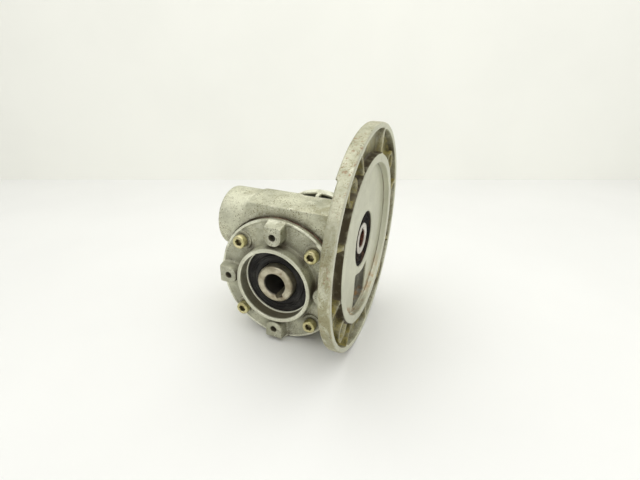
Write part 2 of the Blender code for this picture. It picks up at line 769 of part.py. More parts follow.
def worm_thread():
    """The thread as one loft along its helix. At rest its centre is under the worm, at x = 0."""
    steps_per_turn = 12
    foot, half_turns = WORM_ROOT_RADIUS - 0.0005, THREAD_HALF_LENGTH / LEAD
    steps = round(2 * half_turns * steps_per_turn)
    bm = bmesh.new()
    sections = []
    for i in range(steps + 1):
        turns = 2 * half_turns * i / steps - half_turns
        angle = 2 * math.pi * turns - math.pi / 2
        section = []
        for radius, side in (
            (foot, -1),
            (WORM_TIP_RADIUS, -1),
            (WORM_TIP_RADIUS, 1),
            (foot, 1),
        ):
            along = LEAD * turns + side * thread_thickness(radius) / 2
            place = (along, radius * math.cos(angle), radius * math.sin(angle))
            section.append(bm.verts.new(place))
        sections.append(section)
    bm.faces.new(sections[0])
    bm.faces.new(sections[-1])
    for one, other in zip(sections, sections[1:]):
        for i in range(4):
            j = (i + 1) % 4
            bm.faces.new((one[i], one[j], other[j], other[i]))
    return new_object("worm_thread", bm)


def worm_shaft(axis):
    groove = CLIP_INNER_RADIUS - SHAFT_GAP
    tail_shoulder, relief, collar, collar_width = 0.0085, 0.0040, 0.0113, 0.0030
    thread_start, thread_end = -THREAD_HALF_LENGTH - 0.0030, THREAD_HALF_LENGTH + relief
    collar_end = MOTOR_BEARING[0] - SHAFT_GAP
    bore_end, drill_point, chamfer = 0.0230, 0.0020, 0.0008
    profile = [
        (0, WORM_TAIL_END),
        (WORM_TAIL_RADIUS, WORM_TAIL_END),
        (WORM_TAIL_RADIUS, CIRCLIP[0] - SEAT_GAP),
        (groove, CIRCLIP[0] - SEAT_GAP),
        (groove, CIRCLIP[1] + SEAT_GAP),
        (WORM_TAIL_RADIUS, CIRCLIP[1] + SEAT_GAP),
        (WORM_TAIL_RADIUS, TAIL_BEARING[1] + SHAFT_GAP),
        (tail_shoulder, TAIL_BEARING[1] + SHAFT_GAP),
        (tail_shoulder, thread_start),
        (WORM_ROOT_RADIUS, thread_start),
        (WORM_ROOT_RADIUS, thread_end),
        (WORM_HUB_RADIUS, thread_end),
        (WORM_HUB_RADIUS, collar_end - collar_width),
        (collar, collar_end - collar_width),
        (collar, collar_end),
        (WORM_HUB_RADIUS, collar_end),
        (WORM_HUB_RADIUS, WORM_HUB_END),
        (MOTOR_BORE_RADIUS + chamfer, WORM_HUB_END),
        (MOTOR_BORE_RADIUS, WORM_HUB_END - chamfer),
        (MOTOR_BORE_RADIUS, bore_end),
        (0, bore_end - drill_point),
    ]
    shaft = turned("worm_shaft", profile, "X", RING_STEPS)
    combine(shaft, "UNION", worm_thread())
    slot = keyway("motor_keyway", MOTOR_KEYWAY, bore_end + OVERLAP, WORM_HUB_END + OVERLAP, None)
    combine(shaft, "DIFFERENCE", slot)
    finish(shaft, "shaft_steel", axis)


# ---------------------------------------------------------------- bearings, seals and small rings


def ring(name, inner, outer, low, high, along, slot, axis):
    profile = [(inner, low), (outer, low), (outer, high), (inner, high)]
    finish(turned(name, profile, along, RING_STEPS), slot, axis)


def bearing(prefix, bore, outside, span, ball_radius, along, axis):
    """A deep groove bearing: an outer ring, an inner ring and a caged ball set."""
    low, high = span
    middle, half_track = (low + high) / 2, ball_radius * 0.7
    pitch = (bore + outside) / 2
    land, track = 0.9 * ball_radius, ball_radius + 0.0007
    for name, edge, sign in (("inner_ring", bore, -1), ("outer_ring", outside, 1)):
        profile = [
            (edge, low),
            (pitch + sign * land, low),
            (pitch + sign * land, middle - half_track),
            (pitch + sign * track, middle),
            (pitch + sign * land, middle + half_track),
            (pitch + sign * land, high),
            (edge, high),
        ]
        finish(turned(f"{prefix}_{name}", profile, along, RING_STEPS), "bearing_steel", axis)
    cage_half = 0.3 * ball_radius
    cage = [
        (pitch - cage_half, middle - cage_half),
        (pitch + cage_half, middle - cage_half),
        (pitch + cage_half, middle + cage_half),
        (pitch - cage_half, middle + cage_half),
    ]
    balls = bmesh.new()
    count = 7
    for i in range(count):
        angle = 2 * math.pi * i / count
        across, up = pitch * math.cos(angle), pitch * math.sin(angle)
        centre = (middle, across, up) if along == "X" else (across, middle, up)
        bmesh.ops.create_uvsphere(
            balls, u_segments=6, v_segments=4, radius=ball_radius, matrix=Matrix.Translation(centre)
        )
    ball_set = turned(f"{prefix}_ball_set", cage, along, 2 * count)
    combine(ball_set, "UNION", new_object("balls", balls))
    finish(ball_set, "bearing_steel", axis)


def seal_profile(low, high, outer, lip):
    """Half section of a shaft seal, whose face falls away towards its lip."""
    shoulder = lip + (outer - lip) / 3
    return [
        (outer, low),
        (outer, high),
        (shoulder, high),
        (lip, high - SEAL_LIP_SETBACK),
        (lip, low),
    ]


def output_seal(name, side, axis):
    low, high = OUTPUT_SEAL
    outer, lip = OUTPUT_SEAL_RADIUS, OUTPUT_SHAFT_RADIUS + SHAFT_GAP
    profile = seal_profile(low, high, outer, lip)
    finish(turned(name, mirrored(profile, side), "Y"), "seal_rubber", axis)


def input_seal(axis):
    low, high = INPUT_SEAL
    outer, lip = INPUT_SEAL_BORE_RADIUS - SEAT_GAP, WORM_HUB_RADIUS + SHAFT_GAP
    profile = seal_profile(low, high, outer, lip)
    finish(turned("input_seal", profile, "X"), "seal_rubber", axis)


def circlip(name, inner, outer, opening, axis):
    """A flat ring with a gap, which is centred on the bottom."""
    half = opening / 2
    outline = arc((0, 0), outer, -90 + half, 270 - half, 16)
    outline += arc((0, 0), inner, 270 - half, -90 + half, 16)
    clip = plate(name, outline, CIRCLIP[1] - CIRCLIP[0])
    stand = Matrix.Rotation(math.pi / 2, 4, "Z") @ Matrix.Rotation(math.pi / 2, 4, "X")
    middle = (CIRCLIP[0] + CIRCLIP[1]) / 2
    finish(moved(clip, Matrix.Translation((middle, 0, 0)) @ stand), "spring_steel", axis)


def end_cap(axis):
    outer = WORM_BEARING_RADIUS - 0.0001
    face, back = TUBE_END + 0.0005, TUBE_END + 0.0050
    dish_radius, dish_depth, draft = 0.0140, 0.0016, 0.0007
    profile = [
        (0, back),
        (outer, back),
        (outer, face),
        (dish_radius, face),
        (dish_radius - draft, face + dish_depth),
        (0, face + dish_depth),
    ]
    finish(turned("worm_end_cap", profile, "X"), "seal_rubber", axis)


def axis_empty(name, place):
    empty = bpy.data.objects.new(name, None)
    empty.empty_display_size = 0.02
    empty.location = place
    PARTS.objects.link(empty)
    return empty


def build():
    output_axis = axis_empty("output_axis", OUTPUT_AXIS)
    worm_axis = axis_empty("worm_axis", WORM_AXIS)
    gearcase(output_axis)
    front_cover(output_axis)
    output_flange(output_axis)
    output_shaft(output_axis)
    worm_wheel(output_axis)
    for place, side, screws in (("front", -1, "cover"), ("rear", 1, "flange")):
        gasket(f"{place}_gasket", side, output_axis)
        output_seal(f"{place}_output_seal", side, output_axis)
        span = sorted(side * out for out in OUTPUT_BEARING)
        bore = OUTPUT_SHAFT_RADIUS + SHAFT_GAP
        prefix = f"{place}_output_bearing"
        ball = BALL_RADIUS["output"]
        bearing(prefix, bore, OUTPUT_BEARING_RADIUS, span, ball, "Y", output_axis)
        low, high = sorted(side * out for out in SHIM)
        name = f"{place}_bearing_shim"
        ring(name, *SHIM_RADII, low, high, "Y", "spring_steel", output_axis)
        for corner, degrees in SCREW_ANGLES.items():
            cap_screw(f"{screws}_screw_{corner}", side, degrees, output_axis)
    worm_shaft(worm_axis)
    motor_bore, tail_bore = WORM_HUB_RADIUS + SHAFT_GAP, WORM_TAIL_RADIUS + SHAFT_GAP
    outside = WORM_BEARING_RADIUS
    for prefix, bore, span, ball in (
        ("worm_front_bearing", motor_bore, MOTOR_BEARING, BALL_RADIUS["motor"]),
        ("worm_rear_bearing", tail_bore, TAIL_BEARING, BALL_RADIUS["tail"]),
    ):
        bearing(prefix, bore, outside, span, ball, "X", worm_axis)
    input_seal(worm_axis)
    inner = CLIP_INNER_RADIUS
    shaft_clip = (inner, inner + CLIP_WIDTH["shaft"], CLIP_OPENING["shaft"])
    circlip("worm_shaft_circlip", *shaft_clip, worm_axis)
    outer = WORM_BEARING_RADIUS + CIRCLIP_BITE
    bore_clip = (outer - CLIP_WIDTH["bore"], outer, CLIP_OPENING["bore"])
    circlip("worm_bore_circlip", *bore_clip, worm_axis)
    end_cap(worm_axis)


clear_scene()
PARTS = collection("worm_gearbox")
TOOLS = collection("cutters")
build()
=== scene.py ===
"""The looks of the worm gearbox: finely cast and turned pieces and procedural materials around the
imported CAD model, on a pale table.

Shapes are worked out in millimetres in the gearbox's own frame: the origin is where the output
axis meets the gearcase's middle plane, +X runs along the worm towards the motor, +Y along the
output axis away from the front cover, and +Z up to the worm axis. place() turns that into the
row's frame, in metres. A "field" below is a signed distance: negative inside the metal.
"""

import json
import math

import bmesh
import bpy
import numpy as np
from mathutils import Matrix, Vector


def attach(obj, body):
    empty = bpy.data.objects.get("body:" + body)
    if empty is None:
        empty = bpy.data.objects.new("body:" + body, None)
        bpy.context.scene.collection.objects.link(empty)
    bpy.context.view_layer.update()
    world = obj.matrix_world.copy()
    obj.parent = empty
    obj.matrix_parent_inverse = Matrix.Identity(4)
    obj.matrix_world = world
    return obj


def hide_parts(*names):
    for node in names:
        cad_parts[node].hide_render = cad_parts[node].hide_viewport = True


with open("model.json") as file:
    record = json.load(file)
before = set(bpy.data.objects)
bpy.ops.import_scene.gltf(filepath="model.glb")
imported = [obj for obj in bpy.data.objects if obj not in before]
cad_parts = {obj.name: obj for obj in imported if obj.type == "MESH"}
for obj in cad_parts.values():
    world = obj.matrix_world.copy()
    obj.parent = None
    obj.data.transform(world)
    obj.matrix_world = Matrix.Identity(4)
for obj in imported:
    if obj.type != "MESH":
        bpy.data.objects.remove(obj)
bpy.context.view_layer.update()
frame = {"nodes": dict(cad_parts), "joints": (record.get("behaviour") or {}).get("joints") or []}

MM = 0.001
JOINTS = {joint["name"]: joint for joint in frame["joints"]}
OUTPUT_AXIS = Vector(JOINTS["output_spin"]["pos_m"])
WORM_AXIS = Vector(JOINTS["worm_spin"]["pos_m"])
CENTRE_DISTANCE = (WORM_AXIS.z - OUTPUT_AXIS.z) / MM

# Gearcase.
BODY_RADIUS = 42.0
BODY_HALF_WIDTH = 19.8
MAIN_BORE_RADIUS = 30.5
BOX_CROWN_HEIGHT = 50.8
BOX_CROWN_DROP = 2.3
BOX_REAR_RADIUS = 21.4
BOX_END = -23.2
BOX_END_SLOPE = 0.29
TUBE_RADIUS = 20.6
TUBE_END = -46.8
WORM_BORE_RADIUS = 12.5
BEARING_SEAT_RADIUS = 16.2
REAR_SEAT_START = -28.1
FRONT_SEAT_START = 32.1
CLIP_GROOVE = (-39.7, -38.5)
UNDERNECK_HALF_WIDTH = 16.5
UNDERNECK_BOTTOM = -20.5

# Motor flange.
FLANGE_FACE = 51.9
FLANGE_RADIUS = 70.0
RIM_BACK = 45.3
TOP_RIM_BACK = 44.2
TOP_RIM_HEIGHT = 48.2
RIM_INSIDE = 66.8
WEB_BACK = 44.6
PILOT_RADIUS = 47.5
PILOT_RING_RADIUS = 52.4
RECESS_FLOOR = FLANGE_FACE - 4.2
CHANNEL_FLOOR = FLANGE_FACE - 5.0
POCKET_HALF_WIDTH = 13.3
POCKET_TOP = 10.0
POCKET_FLOOR = 42.5
RIB_ANGLES = (20, 79, 118.5, 163, -163, -118.5, -79, -20)
RIB_HALF_WIDTH = 1.3
BOLT_ANGLES = (45, 135, 225, 315)
BOLT_CIRCLE_RADIUS = 57.5
BOLT_HOLE_RADIUS = 4.75
BOLT_BOSS_RADIUS = 7.6
BOLT_BOSS_DROP = 1.3
INPUT_SEAL_BORE_RADIUS = 17.7
INPUT_SEAL_SEAT_START = 40.4

# Cover and output flange, by their distance out from the middle plane.
PLATE_BACK = 20.8
PLATE_FACE = 24.4
BOSS_FACE = 32.4
BOSS_RADIUS = 25.7
BOSS_BORE_RADIUS = 23.2
SPIGOT_RADIUS = 30.2
SPIGOT_BACK = 14.0
SPIGOT_NOSE_RADIUS = 25.0
SPIGOT_NOSE_BACK = 10.5
QUARTERS = (0, 90, 180, 270)
SCREW_CIRCLE_RADIUS = 34.8
SCREW_HOLE_RADIUS = 2.7
SCREW_ANGLES = {"top_right": 45, "top_left": 135, "bottom_left": 225, "bottom_right": 315}
PAD_RADIUS = 6.2
PAD_FACE = 25.4
LUG_CIRCLE_RADIUS = 33.0
LUG_HALF_WIDTH = 5.8
LUG_FACE = 31.5
LUG_ROOF = 39.4
NECK_RADIUS = 27.0
DISC_FRONT = 42.0
DISC_BACK = 50.0
DISC_RIM = 1.9
DISC_HOLLOW = 4.6
DISC_BOLT_CIRCLE_RADIUS = 34.0
DISC_PILOT_RADIUS = 25.0

# Shafts. Lengths of the output shaft are distances out from the middle plane.
SHAFT_RADIUS = 12.5
SHAFT_END = 29.4
SHAFT_BORE_RADIUS = 7.0
HUB_RADIUS = 16.0
WORM_SHAFT_REAR = -40.5
WORM_SHAFT_FRONT = 46.7
WORM_COLLAR_RADIUS = 11.3
WORM_SHAFT_BORE_RADIUS = 5.5
WORM_MODULE = 1.44

# Fineness of the fields' grids, and the most faces that a piece keeps.
GRID_SCALE = 1.0
MOST_FACES = 150_000


# ---------------------------------------------------------------- fields


def join(radius, *fields):
    """Union of fields, with a fillet of about this radius where they meet."""
    total = fields[0]
    for field in fields[1:]:
        share = np.clip(0.5 + 0.5 * (field - total) / radius, 0, 1)
        total = field + (total - field) * share - radius * share * (1 - share)
    return total


def meet(radius, *fields):
    """Where all the fields overlap, with its edges rounded to about this radius."""
    return -join(radius, *[-field for field in fields])


def cut(radius, solid, *tools):
    """The solid without the tools, with the new edges rounded to about this radius."""
    return meet(radius, solid, *[-tool for tool in tools])


def between(value, low, high):
    return np.maximum(low - value, value - high)


def rod(radial, along, radius, low, high):
    return np.maximum(radial - radius, between(along, low, high))


def turned_coordinates(across, up, degrees):
    """The two coordinates in axes turned by this angle."""
    angle = math.radians(degrees)
    cos, sin = math.cos(angle), math.sin(angle)
    return across * cos + up * sin, up * cos - across * sin


def grid_axes(low, high, step):
    """The grid's places along each axis, a little past the box on every side."""
    return [np.arange(a - 2 * step, b + 3 * step, step, dtype=np.float32) for a, b in zip(low, high)]


def sampled(field, axes):
    """The field at every grid point, worked out layer by layer to stay small in memory."""
    values = np.empty([len(axis) for axis in axes], np.float32)
    layers = 6
    for start in range(0, len(axes[0]), layers):
        mesh = np.meshgrid(axes[0][start : start + layers], axes[1], axes[2], indexing="ij")
        values[start : start + layers] = field(*mesh)
    return values


def corner(values, offset):
    """The values at one corner of every grid cell."""
    parts = [slice(o, o + n - 1) for o, n in zip(offset, values.shape)]
    return values[tuple(parts)]


def net(values, axes):
    """A surface net: one point in each cell that the surface crosses, and a quad at each crossed
    edge of the grid."""
    inside = values < 0
    offsets = [(i, j, k) for i in (0, 1) for j in (0, 1) for k in (0, 1)]
    filled = sum(corner(inside, offset).astype(np.int8) for offset in offsets)
    cells = np.argwhere((filled > 0) & (filled < 8))
    numbers = np.full(filled.shape, -1, np.int64)
    numbers[tuple(cells.T)] = np.arange(len(cells))
    total, count = np.zeros((len(cells), 3)), np.zeros(len(cells))
    for direction in range(3):
        for offset in [o for o in offsets if o[direction] == 0]:
            first = cells + offset
            last = first.copy()
            last[:, direction] += 1
            a, b = values[tuple(first.T)], values[tuple(last.T)]
            crossed = (a < 0) != (b < 0)
            share = np.where(crossed, a / np.where(crossed, a - b, 1), 0)
            total += crossed[:, None] * np.array(offset)
            total[:, direction] += share
            count += crossed
    steps = np.array([axis[1] - axis[0] for axis in axes])
    points = np.array([axis[0] for axis in axes]) + (cells + total / count[:, None]) * steps
    quads = []
    for direction in range(3):
        one, two = [d for d in range(3) if d != direction]
        here, there = [slice(1, -1)] * 3, [slice(1, -1)] * 3
        here[direction], there[direction] = slice(0, -1), slice(1, None)
        starts, ends = inside[tuple(here)], inside[tuple(there)]
        at = np.argwhere(starts != ends) + 1
        at[:, direction] -= 1
        around = []
        for back_one, back_two in ((0, 0), (1, 0), (1, 1), (0, 1)):
            cell = at.copy()
            cell[:, one] -= back_one
            cell[:, two] -= back_two
            around.append(numbers[tuple(cell.T)])
        quad = np.stack(around, axis=1)
        outward = inside[tuple(at.T)] != (direction == 1)
        quad[outward] = quad[outward][:, ::-1]
        quads.append(quad)
    return points, np.concatenate(quads)


def settled(field, points, step):
    """The points moved onto the surface itself, along the field's slope."""
    reach, rounds, flattest, longest_move = 0.02, 2, 0.2, 0.3 * step
    for _ in range(rounds):
        columns = [points[:, i].astype(np.float64) for i in range(3)]
        value = field(*columns)
        slope = np.empty_like(points)
        for i in range(3):
            ahead = list(columns)
            ahead[i] = ahead[i] + reach
            slope[:, i] = (field(*ahead) - value) / reach
        square = np.maximum((slope**2).sum(axis=1), flattest)
        move = -(value / square)[:, None] * slope
        points = points + np.clip(move, -longest_move, longest_move)
    return points


def place(points):
    """Millimetres in the gearbox's own frame to metres in the row's frame."""
    return np.asarray(points) * MM + np.array(OUTPUT_AXIS)


def from_field(name, field, low, high, step, most_faces=MOST_FACES):
    """A closed mesh of the field's surface inside a box."""
    step = step * GRID_SCALE
    axes = grid_axes(low, high, step)
    points, quads = net(sampled(field, axes), axes)
    points = settled(field, points, step)
    obj = mesh_object(name, place(points), quads)
    if 2 * len(quads) > most_faces:
        thin = obj.modifiers.new("thin", "DECIMATE")
        thin.ratio = most_faces / (2 * len(quads))
        make_real(obj)
    return shaded(obj, 50)


# ---------------------------------------------------------------- meshes


def mesh_object(name, points, faces):
    mesh = bpy.data.meshes.new(name)
    mesh.vertices.add(len(points))
    mesh.vertices.foreach_set("co", np.asarray(points, np.float32).ravel())
    sides = len(faces[0])
    mesh.loops.add(sides * len(faces))
    mesh.loops.foreach_set("vertex_index", np.asarray(faces, np.int32).ravel())
    mesh.polygons.add(len(faces))
    mesh.polygons.foreach_set("loop_start", np.arange(len(faces), dtype=np.int32) * sides)
    mesh.update(calc_edges=True)
    mesh.validate()
    obj = bpy.data.objects.new(name, mesh)
    bpy.context.scene.collection.objects.link(obj)
    return obj


def make_real(obj):
    """The object's modifiers worked into its mesh."""
    graph = bpy.context.evaluated_depsgraph_get()
    mesh = bpy.data.meshes.new_from_object(obj.evaluated_get(graph))
    obj.modifiers.clear()
    obj.data = mesh
    return obj


def shaded(obj, degrees):
    obj.data.shade_smooth()
    obj.data.set_sharp_from_angle(angle=math.radians(degrees))
    return obj


def lathe(name, profile, axis, segments=160, centre=(0, 0, 0), wave=None):
    """A turned piece from (radius, place along the axis) points, closed into a ring. wave(angle,
    point number) scales a radius, for flats and knurls."""
    along = "XYZ".index(axis)
    first, second = [(1, 2), (2, 0), (0, 1)][along]
    points = np.zeros((segments, len(profile), 3))
    for i in range(segments):
        angle = 2 * math.pi * i / segments
        for j, (radius, place_along) in enumerate(profile):
            scale = wave(angle, j) if wave else 1
            points[i, j, first] = radius * scale * math.cos(angle)
            points[i, j, second] = radius * scale * math.sin(angle)
            points[i, j, along] = place_along
    count = len(profile)
    quads = []
    for i in range(segments):
        k = (i + 1) % segments
        for j in range(count):
            m = (j + 1) % count
            quads.append((i * count + j, i * count + m, k * count + m, k * count + j))
    obj = mesh_object(name, place(points.reshape(-1, 3) + np.array(centre)), quads)
    bm = bmesh.new()
    bm.from_mesh(obj.data)
    bmesh.ops.remove_doubles(bm, verts=bm.verts, dist=1e-7)
    bmesh.ops.recalc_face_normals(bm, faces=bm.faces)
    bm.to_mesh(obj.data)
    bm.free()
    return shaded(obj, 35)


def rounded(points, radius, steps=4):
    """A closed outline with each corner rounded: (x, y) or (x, y, own radius) points."""
    made = []
    count = len(points)
    for i, point in enumerate(points):
        here = Vector(point[:2])
        before = Vector(points[i - 1][:2]) - here
        after = Vector(points[(i + 1) % count][:2]) - here
        size = point[2] if len(point) > 2 else radius
        size = min(size, 0.45 * before.length, 0.45 * after.length)
        if size <= 0:
            made.append(tuple(here))
            continue
        start, end = here + before.normalized() * size, here + after.normalized() * size
        for j in range(steps + 1):
            t = j / steps
            made.append(tuple((1 - t) ** 2 * start + 2 * t * (1 - t) * here + t**2 * end))
    return made


# ---------------------------------------------------------------- castings


def flange_disc(x, up, radial):
    """The motor flange's disc: stepped rim, channel, pilot ring and recess."""
    back = np.where(up > TOP_RIM_HEIGHT, TOP_RIM_BACK, RIM_BACK)
    web = np.maximum(WEB_BACK - x, radial - (RIM_INSIDE - 1.5))
    rim = np.maximum(back - x, RIM_INSIDE - 2.5 - radial)
    behind = join(0.8, web, rim)
    disc = meet(1.2, behind, x - FLANGE_FACE, radial - FLANGE_RADIUS)
    recess = meet(0.8, radial - PILOT_RADIUS, RECESS_FLOOR - x)
    channel = meet(1.2, between(radial, PILOT_RING_RADIUS, RIM_INSIDE), CHANNEL_FLOOR - x)
    return cut(0.7, disc, recess, channel)


def bell(x, radial):
    """The neck that flares out into the flange, as the outside of a quarter ellipse."""
    neck_radius, end_radius, start = 19.0, 50.0, 27.0
    across, along = end_radius - neck_radius, WEB_BACK - start
    a, b = (radial - end_radius) / across, (x - start) / along
    size = np.sqrt(a * a + b * b)
    slope = np.sqrt((a / across) ** 2 + (b / along) ** 2) + 1e-9
    flare = -size * (size - 1) / slope
    inside_neck = np.where(x < start, radial - neck_radius, flare)
    return np.maximum(np.maximum(inside_neck, radial - end_radius), between(x, 15, WEB_BACK + 1))


def box_field(x, y, z):
    """The box between tube and flange: flat in front, rounded off behind the worm axis."""
    front_crown = z - (BOX_CROWN_HEIGHT - BOX_CROWN_DROP * (y / BODY_HALF_WIDTH) ** 2)
    round_crown = np.hypot(y, z - BOX_CROWN_HEIGHT + BOX_REAR_RADIUS) - BOX_REAR_RADIUS
    round_crown = np.where(z > BOX_CROWN_HEIGHT - BOX_REAR_RADIUS, round_crown, -BOX_REAR_RADIUS)
    crown = np.where(y < 0, front_crown, round_crown)
    left = (BOX_END - BOX_END_SLOPE * (BOX_CROWN_HEIGHT - z) - x) / math.hypot(1, BOX_END_SLOPE)
    box = meet(1.2, crown, left)
    return np.maximum(box, np.maximum(-z, x - WEB_BACK - 1))


def motor_flange_field(x, y, up, radial):
    """The flange's disc with its ribs and bolt bosses, and the fields of its bolt holes."""
    disc = flange_disc(x, up, radial)
    for degrees in RIB_ANGLES:
        out, side = turned_coordinates(y, up, degrees)
        rib = np.maximum(between(x, WEB_BACK + 1, FLANGE_FACE - 0.8), np.abs(side) - RIB_HALF_WIDTH)
        rib = np.maximum(rib, between(out, PILOT_RING_RADIUS - 1, RIM_INSIDE + 1))
        disc = join(1.6, disc, rib)
    bolt_holes = []
    for degrees in BOLT_ANGLES:
        out, side = turned_coordinates(y, up, degrees)
        about_bolt = np.hypot(out - BOLT_CIRCLE_RADIUS, side)
        boss = rod(about_bolt, x, BOLT_BOSS_RADIUS, WEB_BACK + 0.5, FLANGE_FACE - BOLT_BOSS_DROP)
        disc = join(1.2, disc, boss)
        bolt_holes.append(about_bolt - BOLT_HOLE_RADIUS)
    return disc, bolt_holes


def gearcase_field(x, y, z):
    up = z - CENTRE_DISTANCE
    about_worm, about_output = np.hypot(y, up), np.hypot(x, z)
    across = np.abs(y)
    outline = join(5.0, about_output - BODY_RADIUS, box_field(x, y, z))
    block = meet(1.0, outline, across - BODY_HALF_WIDTH)
    tube = meet(2.2, about_worm - TUBE_RADIUS, TUBE_END - x)
    tube = np.maximum(tube, x)
    underneck = np.maximum(across - UNDERNECK_HALF_WIDTH, between(z, UNDERNECK_BOTTOM, CENTRE_DISTANCE))
    underneck = np.maximum(between(x, 20, WEB_BACK + 1), underneck)
    case = join(3.5, block, tube, bell(x, about_worm))
    case = join(2.5, case, underneck)
    disc, bolt_holes = motor_flange_field(x, y, up, about_worm)
    case = join(3.0, case, disc)
    case = np.maximum(case, x - FLANGE_FACE)
    cover_room = np.maximum(about_output - BODY_RADIUS - 0.6, BODY_HALF_WIDTH + 0.05 - across)
    pocket_ring = between(about_worm, INPUT_SEAL_BORE_RADIUS + 5, PILOT_RADIUS - 0.4)
    pocket = meet(2.0, pocket_ring, across - POCKET_HALF_WIDTH, z - POCKET_TOP, POCKET_FLOOR - x)
    case = cut(0.5, case, cover_room)
    case = cut(1.0, case, pocket)
    holes = list(bolt_holes)
    screw_hole_end = 13
    for degrees in SCREW_ANGLES.values():
        out, side = turned_coordinates(x, z, degrees)
        about_screw = np.hypot(out - SCREW_CIRCLE_RADIUS, side)
        holes.append(np.maximum(about_screw - SCREW_HOLE_RADIUS, screw_hole_end - across))
    case = cut(0.5, case, *holes)
    worm_line = worm_line_field(x, about_worm)
    return cut(0.6, case, about_output - MAIN_BORE_RADIUS, worm_line)


def worm_line_field(x, radial):
    """Everything that is bored on the worm axis."""
    through = radial - WORM_BORE_RADIUS
    tail = np.maximum(radial - BEARING_SEAT_RADIUS, x - REAR_SEAT_START)
    groove = rod(radial, x, BEARING_SEAT_RADIUS + 0.8, *CLIP_GROOVE)
    front = np.maximum(radial - BEARING_SEAT_RADIUS, FRONT_SEAT_START - x)
    seal = np.maximum(radial - INPUT_SEAL_BORE_RADIUS, INPUT_SEAL_SEAT_START - x)
    return np.minimum.reduce([through, tail, groove, front, seal])


def cover_inside(radial, out):
    """The stepped bore that a bearing cover holds: bearing seat, shoulder, seal seat and mouth."""
    bearing_radius, bearing_end, shoulder_radius = 21.3, 17.0, 19.5
    seal_radius, seal_start = 22.6, 18.4
    bearing = np.maximum(radial - bearing_radius, out - bearing_end)
    seal = np.maximum(radial - seal_radius, seal_start - out)
    mouth = np.maximum(radial - BOSS_BORE_RADIUS, PLATE_FACE + 0.3 - out)
    return np.minimum.reduce([radial - shoulder_radius, bearing, seal, mouth])


def cover_base(radial, out):
    """The round plate with its raised edge, and the spigot behind it."""
    plate = meet(0.8, radial - BODY_RADIUS, between(out, PLATE_BACK, PLATE_FACE))
    sunk = meet(0.6, between(radial, BOSS_RADIUS, BODY_RADIUS - 1.7), PLATE_FACE - 0.45 - out)
    plate = cut(0.5, plate, sunk)
    spigot = rod(radial, out, SPIGOT_RADIUS, SPIGOT_BACK, PLATE_FACE - 1)
    nose = rod(radial, out, SPIGOT_NOSE_RADIUS, SPIGOT_NOSE_BACK, PLATE_FACE - 1)
    return np.minimum(plate, np.minimum(spigot, nose))


def screw_seats(solid, x, z, out):
    """Raised pads with holes for the cover's screws."""
    for degrees in SCREW_ANGLES.values():
        along, side = turned_coordinates(x, z, degrees)
        about = np.hypot(along - SCREW_CIRCLE_RADIUS, side)
        pad = rod(about, out, PAD_RADIUS, PLATE_BACK + 0.5, PAD_FACE)
        pad = meet(0.6, pad, np.hypot(x, z) - BODY_RADIUS)
        solid = join(0.9, solid, pad)
        solid = cut(0.3, solid, about - SCREW_HOLE_RADIUS)
    return solid


def front_cover_field(x, y, z):
    out, radial = -y, np.hypot(x, z)
    boss_draft, lug_draft, roof_draft = 0.04, 0.06, 0.28
    cover = cover_base(radial, out)
    taper = boss_draft * (BOSS_FACE - out)
    boss = meet(0.7, radial - BOSS_RADIUS - taper, between(out, PLATE_BACK, BOSS_FACE))
    cover = join(1.8, cover, boss)
    for degrees in QUARTERS:
        along, side = turned_coordinates(x, z, degrees)
        about = np.hypot(along - LUG_CIRCLE_RADIUS, side)
        outline = np.where(along < LUG_CIRCLE_RADIUS, about, np.abs(side))
        outline = outline - LUG_HALF_WIDTH - lug_draft * (LUG_FACE - out)
        roof = along - LUG_ROOF - roof_draft * (LUG_FACE - out)
        lug = meet(1.0, outline, roof, between(out, PLATE_BACK + 0.5, LUG_FACE))
        cover = join(1.6, cover, lug)
    cover = screw_seats(cover, x, z, out)
    hole_radius, hole_end = 2.2, 22.5
    for degrees in QUARTERS:
        along, side = turned_coordinates(x, z, degrees)
        about = np.hypot(along - LUG_CIRCLE_RADIUS, side)
        cover = cut(0.5, cover, np.maximum(about - hole_radius, hole_end - out))
    cover = np.maximum(cover, radial - BODY_RADIUS)
    return cut(0.5, cover, cover_inside(radial, out))


def output_flange_field(x, y, z):
    out, radial = y, np.hypot(x, z)
    flange = cover_base(radial, out)
    neck = rod(radial, out, NECK_RADIUS, PLATE_BACK, DISC_FRONT + 3)
    disc = meet(0.9, radial - BODY_RADIUS, between(out, DISC_FRONT, DISC_BACK))
    hollow_ring = between(radial, NECK_RADIUS - 2, BODY_RADIUS - DISC_RIM)
    hollow = meet(0.9, hollow_ring, out - DISC_FRONT - DISC_HOLLOW)
    disc = cut(0.7, disc, hollow)
    flange = join(2.4, flange, neck)
    flange = join(2.0, flange, disc)
    rib_half_width, hole_radius, pilot_depth = 1.5, 3.3, 3.0
    for degrees in QUARTERS:
        along, side = turned_coordinates(x, z, degrees)
        rib = meet(0.6, np.abs(side) - rib_half_width, between(along, 20, BODY_RADIUS - 0.8))
        slope = (along - NECK_RADIUS) - (out - PLATE_FACE)
        rib_ends = between(out, PLATE_FACE - 1, DISC_FRONT + DISC_HOLLOW + 1)
        rib = np.maximum(rib, np.maximum(rib_ends, slope))
        flange = join(1.2, flange, rib)
    flange = screw_seats(flange, x, z, out)
    for degrees in BOLT_ANGLES:
        along, side = turned_coordinates(x, z, degrees)
        about = np.hypot(along - DISC_BOLT_CIRCLE_RADIUS, side)
        flange = cut(0.5, flange, np.maximum(about - hole_radius, DISC_FRONT - 1 - out))
    pilot = meet(0.5, radial - DISC_PILOT_RADIUS, DISC_BACK - pilot_depth - out)
    flange = np.maximum(flange, radial - BODY_RADIUS)
    return cut(0.5, flange, cover_inside(radial, out), pilot)


